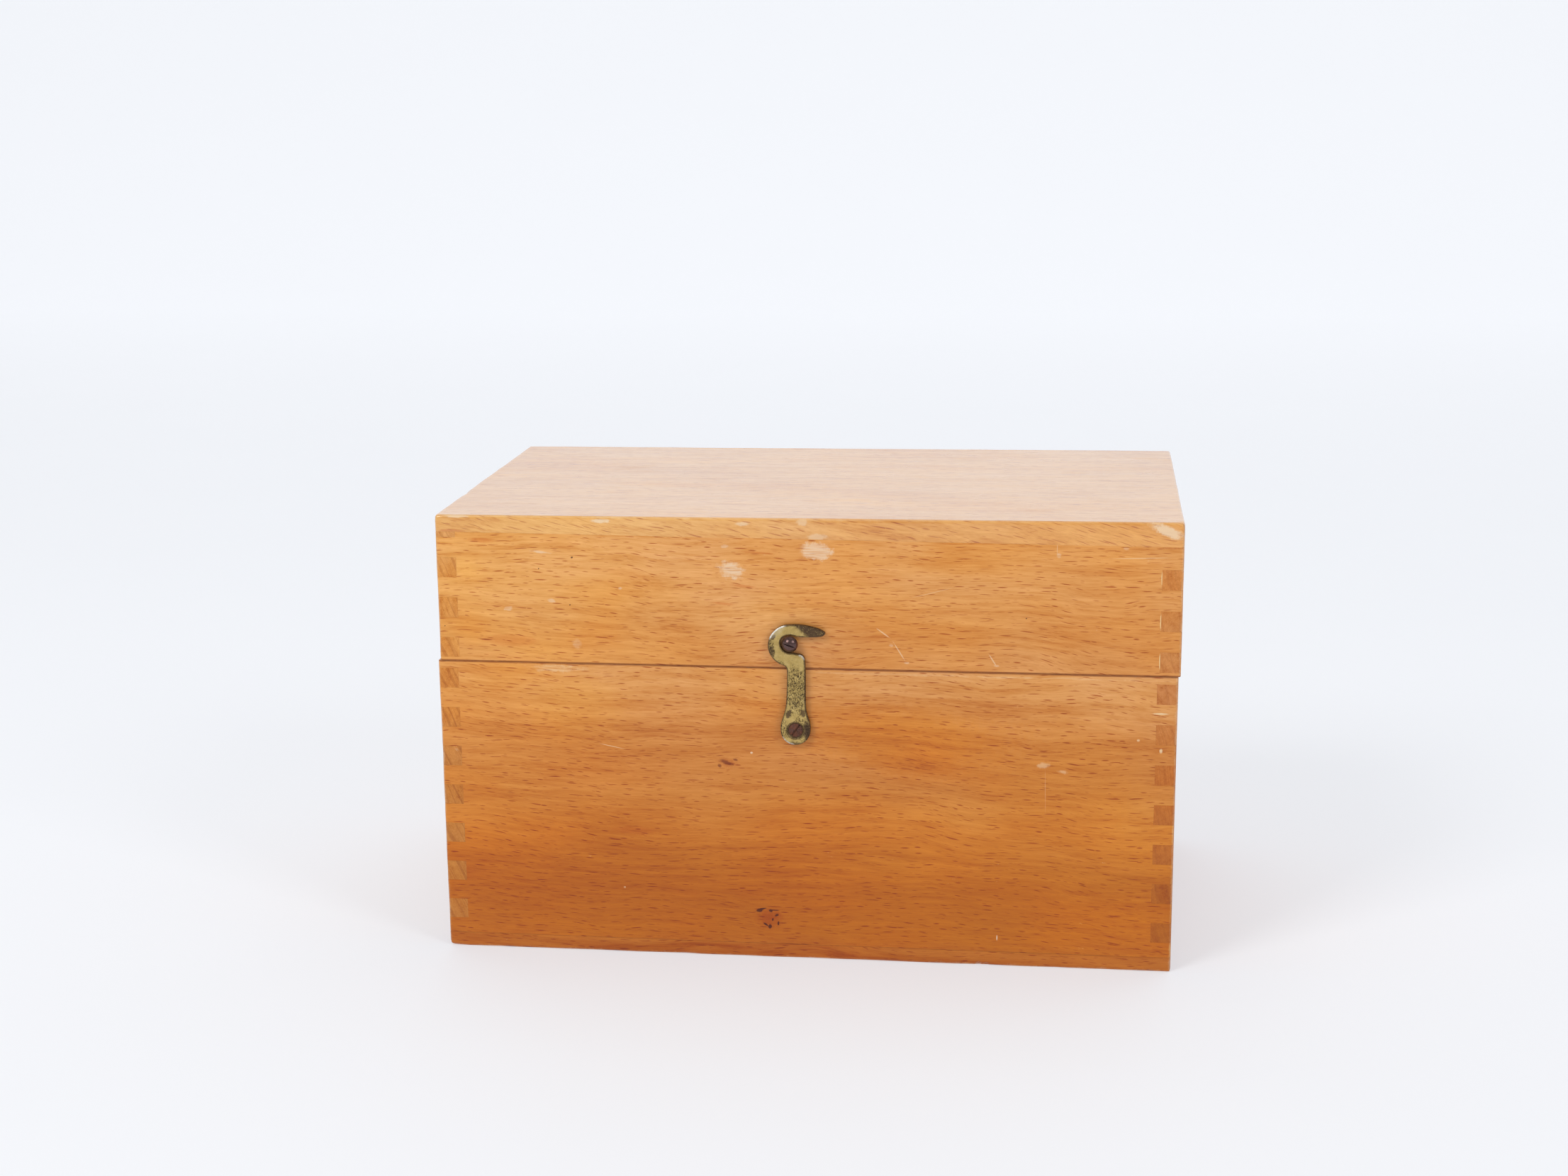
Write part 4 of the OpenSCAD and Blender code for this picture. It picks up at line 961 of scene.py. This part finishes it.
    # rubbed metal on the shoulder of the bowl, less below the arm and the eye; its near-white colour on the bevel is a
    # painted glint
    worn = g.top(g.blot(hx, hz, (-4.6, 24.7), (3.4, 1.3), 38, 0.5, n2, 0.25), g.mul(g.blot(hx, hz, (1.9, 18.7), (1.5, 0.9), -40, 0.5, n2, 0.3), 0.5))
    worn = g.top(worn, g.mul(g.blot(hx, hz, (-1.8, -2.8), (2.2, 0.9), -38, 0.5, n2, 0.3), 0.45))
    rubbed_metal_and_glint = g.mul(g.mul(g.mul(g.step(rimd, 0.44, 0.26), g.sub(1.0, side)), worn), g.step(n2, 0.64, 0.54, 0.2, 1.0))
    col = g.mix(g.mul(rubbed_metal_and_glint, 0.95), col, (0.98, 0.94, 0.84))
    bare_and_shaded = g.top(dark, pit)
    g.put(g.bsdf.inputs["Base Color"], col)
    g.put(g.bsdf.inputs["Metallic"], g.top(g.step(bare_and_shaded, 0.0, 1.0, 0.38, 0.12, smooth=False), g.mul(rubbed_metal_and_glint, 0.5)))
    r = g.mad(pit, 0.3, g.mad(dark, 0.08, g.mad(g.sub(n3, 0.5), 0.2, 0.40)))
    g.put(g.bsdf.inputs["Roughness"], g.math("ADD", g.mad(rubbed_metal_and_glint, -0.18, r), 0.0, clamp=True))
    g.bsdf.inputs["Specular IOR Level"].default_value = 0.22
    h = g.mad(pit, -1.0, g.mad(g.mul(dark, n3), -0.5, g.mad(g.sub(n3, 0.5), 0.3, g.mul(g.sub(n1, 0.5), 0.8))))
    g.put(g.bsdf.inputs["Normal"], g.bump(h, 0.00007))
    return g.mat


def raw_object(name, verts, faces):
    me = bpy.data.meshes.new(name)
    me.from_pydata([tuple(v) for v in verts], [], [tuple(f) for f in faces])
    me.update()
    ob = bpy.data.objects.new(name, me)
    scene.collection.objects.link(ob)
    return ob


def solid(body, joined=(), cut=(), bevel=0.0, segments=2, angle=35):
    """A closed mesh in millimetres with others joined to it and cut from it, and its edges rounded."""
    first = raw_object("part", *body)
    tools = []
    for how, parts in (("UNION", joined), ("DIFFERENCE", cut)):
        for p in parts:
            t = raw_object("tool", *p)
            m = first.modifiers.new("join", "BOOLEAN")
            m.operation, m.object, m.solver = how, t, "EXACT"
            tools.append(t)
    if bevel:
        m = first.modifiers.new("edges", "BEVEL")
        m.width, m.segments, m.limit_method, m.angle_limit = bevel, segments, "ANGLE", math.radians(angle)
    dg = bpy.context.evaluated_depsgraph_get()
    ev = first.evaluated_get(dg)
    me = ev.to_mesh()
    verts, faces = [tuple(v.co) for v in me.vertices], [tuple(p.vertices) for p in me.polygons]
    ev.to_mesh_clear()
    for o in [first] + tools:
        d = o.data
        bpy.data.objects.remove(o)
        bpy.data.meshes.remove(d)
    return verts, faces


def lathe(profile, n=48):
    """A solid turned round Z from (radius, height) pairs, top first."""
    verts, faces, rings = [], [], []
    for r, z in profile:
        k = 1 if r < 1e-6 else n
        rings.append(list(range(len(verts), len(verts) + k)))
        verts += [(0.0, 0.0, z)] if k == 1 else [(r * math.cos(2 * math.pi * i / n), r * math.sin(2 * math.pi * i / n), z) for i in range(n)]
    for a, b in zip(rings, rings[1:]):
        for i in range(n):
            j = (i + 1) % n
            faces.append((a[0], b[i], b[j]) if len(a) == 1 else ((a[i], b[0], a[j]) if len(b) == 1 else (a[i], b[i], b[j], a[j])))
    if len(rings[0]) > 1:
        faces.append(tuple(rings[0]))
    if len(rings[-1]) > 1:
        faces.append(tuple(reversed(rings[-1])))
    return verts, faces


def block(lo, hi):
    v = [(x, y, z) for x in (lo[0], hi[0]) for y in (lo[1], hi[1]) for z in (lo[2], hi[2])]
    return v, [(0, 1, 3, 2), (4, 6, 7, 5), (0, 4, 5, 1), (2, 3, 7, 6), (0, 2, 6, 4), (1, 5, 7, 3)]


def moved(part, matrix):
    return [tuple(matrix @ Vector(v)) for v in part[0]], part[1]


def turn(axis, degrees):
    return Matrix.Rotation(math.radians(degrees), 4, axis)


def shift(x, y, z):
    return Matrix.Translation((x, y, z))


def merged(parts):
    verts, faces = [], []
    for v, f in parts:
        faces += [tuple(i + len(verts) for i in q) for q in f]
        verts += v
    return verts, faces


def metal_piece(name, part, mat, node, body, angle=40):
    ob = mesh_object(name, [(x * MM, y * MM, z * MM) for x, y, z in part[0]], part[1], mat, angle)
    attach(ob, body)
    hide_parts(node)
    return ob


def sunk_screw(head_r, shank_r, sink, length, slot_w, slot_d, bevel=0.05):
    """Countersunk wood screw with its face at z = 0 and a thread on its shank."""
    profile = [(head_r - 0.10, 0.0), (head_r - 0.03, -0.03), (head_r, -0.08), (head_r - 0.04, -0.14), (shank_r, -sink)]
    z = -sink - 0.55
    profile.append((shank_r, z))
    while z > -length + 1.5:
        profile += [(shank_r * 0.80, z - 0.16), (shank_r * 0.80, z - 0.30), (shank_r, z - 0.46), (shank_r, z - 0.54)]
        z -= 0.54
    profile += [(shank_r * 0.72, z - 0.2), (shank_r * 0.55, (z - length) / 2), (0.14, -length + 0.08), (0.0, -length)]
    return solid(lathe(profile), cut=[block((-head_r - 1, -slot_w / 2, -slot_d), (head_r + 1, slot_w / 2, 1.0))], bevel=bevel)


def round_screw(head_r, head_h, shank_r, length, slot_w, slot_d):
    """Round-head wood screw with its underside at z = 0."""
    ball = (head_r ** 2 + head_h ** 2) / (2 * head_h)
    t1 = math.asin(min(1.0, head_r / ball))
    profile = [(ball * math.sin(t1 * k / 10), head_h - ball + ball * math.cos(t1 * k / 10)) for k in range(10)]
    profile += [(head_r - 0.015, 0.12), (head_r - 0.06, 0.0), (shank_r, 0.0)]
    z = -1.7
    profile.append((shank_r, z))
    while z > -length + 1.5:
        profile += [(shank_r * 0.8, z - 0.2), (shank_r * 0.8, z - 0.36), (shank_r, z - 0.56), (shank_r, z - 0.64)]
        z -= 0.64
    profile += [(shank_r * 0.5, (z - length) / 2), (0.14, -length + 0.08), (0.0, -length)]
    return solid(lathe(profile), cut=[block((-head_r - 1, -slot_w / 2, head_h - slot_d), (head_r + 1, slot_w / 2, head_h + 1))], bevel=0.07, segments=3, angle=38)


def ringed(part, top, steps):
    """The part with narrow rings of faces just inside the edge of its top face."""
    bm = bmesh.new()
    vs = [bm.verts.new(v) for v in part[0]]
    for f in part[1]:
        bm.faces.new([vs[i] for i in f])
    bm.normal_update()
    flat = [f for f in bm.faces if f.normal.z > 0.999 and abs(f.calc_center_median().z - top) < 1e-3]
    flat = bmesh.ops.triangulate(bm, faces=flat, quad_method="BEAUTY", ngon_method="BEAUTY")["faces"]
    for t in steps:
        bmesh.ops.inset_region(bm, faces=flat, thickness=t, use_boundary=True, use_even_offset=False)
    # where the ring folds over itself in a sharp corner, the folded face is drawn together
    for _ in range(8):
        bm.normal_update()
        folded = [f for f in bm.faces if f.normal.z < 0 and all(abs(v.co.z - top) < 1e-4 for v in f.verts)]
        if not folded:
            break
        corner = list(folded[0].verts)
        bmesh.ops.pointmerge(bm, verts=corner, merge_co=sum((v.co for v in corner), Vector()) / len(corner))
    bm.verts.index_update()
    out = [tuple(v.co) for v in bm.verts], [tuple(v.index for v in f.verts) for f in bm.faces]
    bm.free()
    return out


HOOK_OUTLINE = [
    (7.34, 24.46), (6.16, 25.26), (4.79, 25.70), (3.41, 26.02), (2.04, 26.27), (0.67, 26.38), (-0.71, 26.35), (-2.09, 26.25), (-3.01, 26.02), (-4.16, 25.46),
    (-5.32, 24.42), (-6.10, 23.23), (-6.48, 21.81), (-6.52, 20.63), (-6.25, 19.46), (-5.62, 18.29), (-4.70, 17.25), (-3.56, 16.56), (-2.64, 16.20), (-2.18, 15.80),
    (-1.96, 15.07), (-1.93, 13.64), (-1.99, 11.27), (-2.08, 8.89), (-2.26, 6.51), (-2.63, 4.59), (-3.10, 3.15), (-3.51, 1.70), (-3.62, 0.26), (-3.44, -1.17),
    (-2.80, -2.33), (-1.65, -3.24), (0.0, -3.60), (1.62, -3.22), (2.78, -2.28), (3.46, -0.90), (3.61, 0.80), (3.37, 2.36), (2.92, 3.78), (2.58, 5.44),
    (2.50, 7.82), (2.50, 10.20), (2.51, 13.75), (2.47, 16.12), (2.39, 17.53), (2.10, 18.43), (1.53, 18.90), (0.61, 19.12), (-0.54, 19.30), (-1.55, 19.36),
    (-2.45, 19.70), (-3.14, 20.34), (-3.50, 21.17), (-3.52, 22.11), (-3.10, 23.00), (-2.20, 23.66), (-0.96, 23.80), (1.10, 23.39), (2.71, 23.38), (4.31, 23.41),
    (5.92, 23.52), (6.84, 23.78)]


def smooth_loop(points, n=3):
    """The closed curve through the points, with n steps between each two."""
    out, k = [], len(points)
    for i in range(k):
        p0, p1, p2, p3 = (np.array(points[(i + d) % k]) for d in (-1, 0, 1, 2))
        for s in range(n):
            t = s / n
            out.append(tuple(0.5 * (2 * p1 + (p2 - p0) * t + (2 * p0 - 5 * p1 + 4 * p2 - p3) * t * t + (3 * p1 - p0 - 3 * p2 + p3) * t ** 3)))
    return out


def slab(outline, z0, z1):
    """An outline, counterclockwise in x and y, given a thickness along z."""
    n = len(outline)
    verts = [(x, y, z0) for x, y in outline] + [(x, y, z1) for x, y in outline]
    return verts, [tuple(reversed(range(n))), tuple(range(n, 2 * n))] + [(i, (i + 1) % n, n + (i + 1) % n, n + i) for i in range(n)]


FRONT = turn("X", 90)    # local z comes to the front, local y points up
BACK = turn("X", -90)    # local z goes to the back, local y points down

HOOK_MAT = hook_plating()
PLATE_MAT = brass("old_brass_hinge", seed=6.1, pits=0.16, rough=0.30, metal=0.72, base=(0.56, 0.41, 0.15), size=0.7)
SCREW_MAT = brass("old_brass_screw", seed=8.4, pits=0.35, rough=0.30, metal=0.72, base=(0.44, 0.31, 0.125), size=0.6)
PIN_MAT = brass("steel_pin", seed=3.9, pits=0.3, rough=0.3, base=(0.40, 0.37, 0.31), metal=0.8)
RUST_MAT = brass("rusty_pivot_screw", seed=5.2, pits=0.8, rough=0.50, base=(0.130, 0.052, 0.034), dark=(0.036, 0.017, 0.011), rust=0.8, metal=0.35, size=0.8)
BRONZE_MAT = brass("bronzed_catch_screw", seed=7.7, pits=0.22, rough=0.16, base=(0.120, 0.072, 0.066), dark=(0.030, 0.018, 0.017), metal=0.85)

hook = solid(slab(smooth_loop(HOOK_OUTLINE), 0.0, HOOK_T),
             cut=[lathe([(2.2, HOOK_T + 1), (2.2, HOOK_T), (1.3, HOOK_T - 0.9), (1.3, -1.0)])], bevel=0.24, segments=3, angle=42)
hook = ringed(hook, HOOK_T, (0.09, 0.11))
ob = metal_piece("hook_plate", moved(hook, shift(HOOK_X, HOOK_BACK, HOOK_Z) @ FRONT), HOOK_MAT, "hook_arm", "hook", 50)
loop = np.array(smooth_loop(HOOK_OUTLINE))
step_to = np.roll(loop, -1, axis=0) - loop
rim = ob.data.attributes.new("rim", "FLOAT", "POINT")
for v in ob.data.vertices:
    p = np.array((v.co.x / MM - HOOK_X, v.co.z / MM - HOOK_Z))
    t = np.clip(((p - loop) * step_to).sum(axis=1) / (step_to ** 2).sum(axis=1), 0, 1)
    rim.data[v.index].value = float(np.min(np.linalg.norm(loop + step_to * t[:, None] - p, axis=1)))
pivot = moved(sunk_screw(1.73, 1.25, 0.48, 5.25, 0.4, 0.28), shift(HOOK_X, -52.05, HOOK_Z) @ FRONT @ turn("Z", 55))
metal_piece("pivot_screw", pivot, RUST_MAT, "hook_pivot_screw", "base")
catch = moved(round_screw(2.0, 1.4, 1.25, 5.8, 0.5, 0.72), shift(CATCH_X, -52.6, CATCH_Z) @ FRONT @ turn("Z", -20))
metal_piece("catch_screw", catch, BRONZE_MAT, "hook_catch_screw", "lid")


def leaf(s, up):
    """One leaf and its rolled knuckles, with countersunk holes."""
    r, clear, reach, mid = 1.6, 2.0, 0.3, 3.9
    corner = [(12 - 0.7 + 0.7 * math.cos(a), 10 - 0.7 + 0.7 * math.sin(a)) for a in np.linspace(0, math.pi / 2, 6)]
    flat = [(12.0, clear)] + corner + [(-x, z) for x, z in reversed(corner)] + [(-12.0, clear)]
    plate = slab([(x, z) for x, z in flat], 0.0, 0.8)
    # plate in x and z, 0.8 thick towards the back
    verts = [(x, HD + t, up * z) for x, z, t in plate[0]]
    faces = [tuple(reversed(f)) for f in plate[1]] if up > 0 else plate[1]
    spans = [(-mid, mid)] if up > 0 else [(-12.0, -4.1), (4.1, 12.0)]
    joined, cut = [], []
    for x0, x1 in spans:
        tab = sorted((up * reach, up * (clear + 0.1)))
        joined.append(block((x0, HD, tab[0]), (x1, HD + 0.8, tab[1])))
        joined.append(moved(lathe([(r, x1 - x0), (r, 0.0)], 40), shift(x0, AXIS_Y, 0) @ turn("Y", 90)))
        # the line where the rolled end of the sheet meets the leaf
        cut.append(moved(block((x0 - 1, -0.08, -0.05), (x1 + 1, 0.36, 0.05)), shift(0, AXIS_Y - 1.1, up * 1.162) @ turn("X", -up * 46)))
    cut.append(moved(lathe([(0.85 if up > 0 else 0.81, 26.0), (0.85 if up > 0 else 0.81, 0.0)], 32), shift(-13, AXIS_Y, 0) @ turn("Y", 90)))
    for q in (-1, 1):
        cut.append(moved(lathe([(1.6, 1.8), (1.6, 0.8), (0.9, 0.15), (0.9, -1.0)], 40), shift(q * 7.5, HD, up * 6.3) @ BACK))
    part = solid((verts, faces), joined, cut, bevel=0.11, segments=2, angle=40)
    return moved(part, shift(s * 55.0, 0, AXIS_Z))


for side, s in (("left", -1), ("right", 1)):
    for half, up, body in (("base", -1, "base"), ("lid", 1, "lid")):
        metal_piece(f"{side}_hinge_{half}_plate", leaf(s, up), PLATE_MAT, f"{side}_hinge_{half}_leaf", body)
        pair = []
        for q in (-1, 1):
            one = sunk_screw(1.53, 0.85, 0.6, 4.75, 0.4, 0.35)
            pair.append(moved(one, shift(s * 55 + q * 7.5, 51.77, AXIS_Z + up * 6.3) @ BACK @ turn("Z", 37 * q + 21 * s + 60 * up)))
        metal_piece(f"{side}_hinge_{half}_screw_pair", merged(pair), SCREW_MAT, f"{side}_hinge_{half}_screws", body)
    head = [(0.0, 12.40), (0.40, 12.38), (0.72, 12.30), (0.96, 12.16), (1.08, 12.03), (1.02, 12.0), (0.8, 12.0)]
    pin = lathe(head + [(r, -z) for r, z in reversed(head)], 32)
    metal_piece(f"{side}_hinge_rod", moved(pin, shift(s * 55, AXIS_Y, AXIS_Z) @ turn("Y", 90)), PIN_MAT, f"{side}_hinge_pin", "base")


# ------------------------------------------------------------------ floor and backdrop
def make_stage():
    prof = [(-14.0, 0.0), (-6.0, 0.0), (-2.0, 0.0), (0.0, 0.0), (1.4, 0.0)]
    n = 24
    for i in range(1, n + 1):
        t = math.pi / 2 * i / n
        prof.append((1.4 + 0.9 * math.sin(t), 0.9 * (1 - math.cos(t))))
    prof += [(2.3, 2.5), (2.3, 5.0)]
    xs = [-9.0, -3.0, 0.0, 3.0, 9.0]
    verts = [(x, y, z) for y, z in prof for x in xs]
    w = len(xs)
    faces = [(j * w + i, j * w + i + 1, (j + 1) * w + i + 1, (j + 1) * w + i) for j in range(len(prof) - 1) for i in range(w - 1)]
    g = Graph("paper_white")
    n1 = g.noise(g.place(), 0.01, 2.0, 0.5)
    g.put(g.bsdf.inputs["Base Color"], g.mix(n1, (0.50, 0.505, 0.515), (0.51, 0.515, 0.525)))
    g.bsdf.inputs["Emission Color"].default_value = (0.42, 0.43, 0.452, 1)
    back = g.split(g.place())[1]
    g.put(g.bsdf.inputs["Emission Strength"], g.step(back, 300.0, 1900.0, 1.0, 1.28))
    g.bsdf.inputs["Roughness"].default_value = 0.8
    g.bsdf.inputs["Specular IOR Level"].default_value = 0.2
    ob = mesh_object("floor_and_backdrop", verts, faces, g.mat, 60)


make_stage()
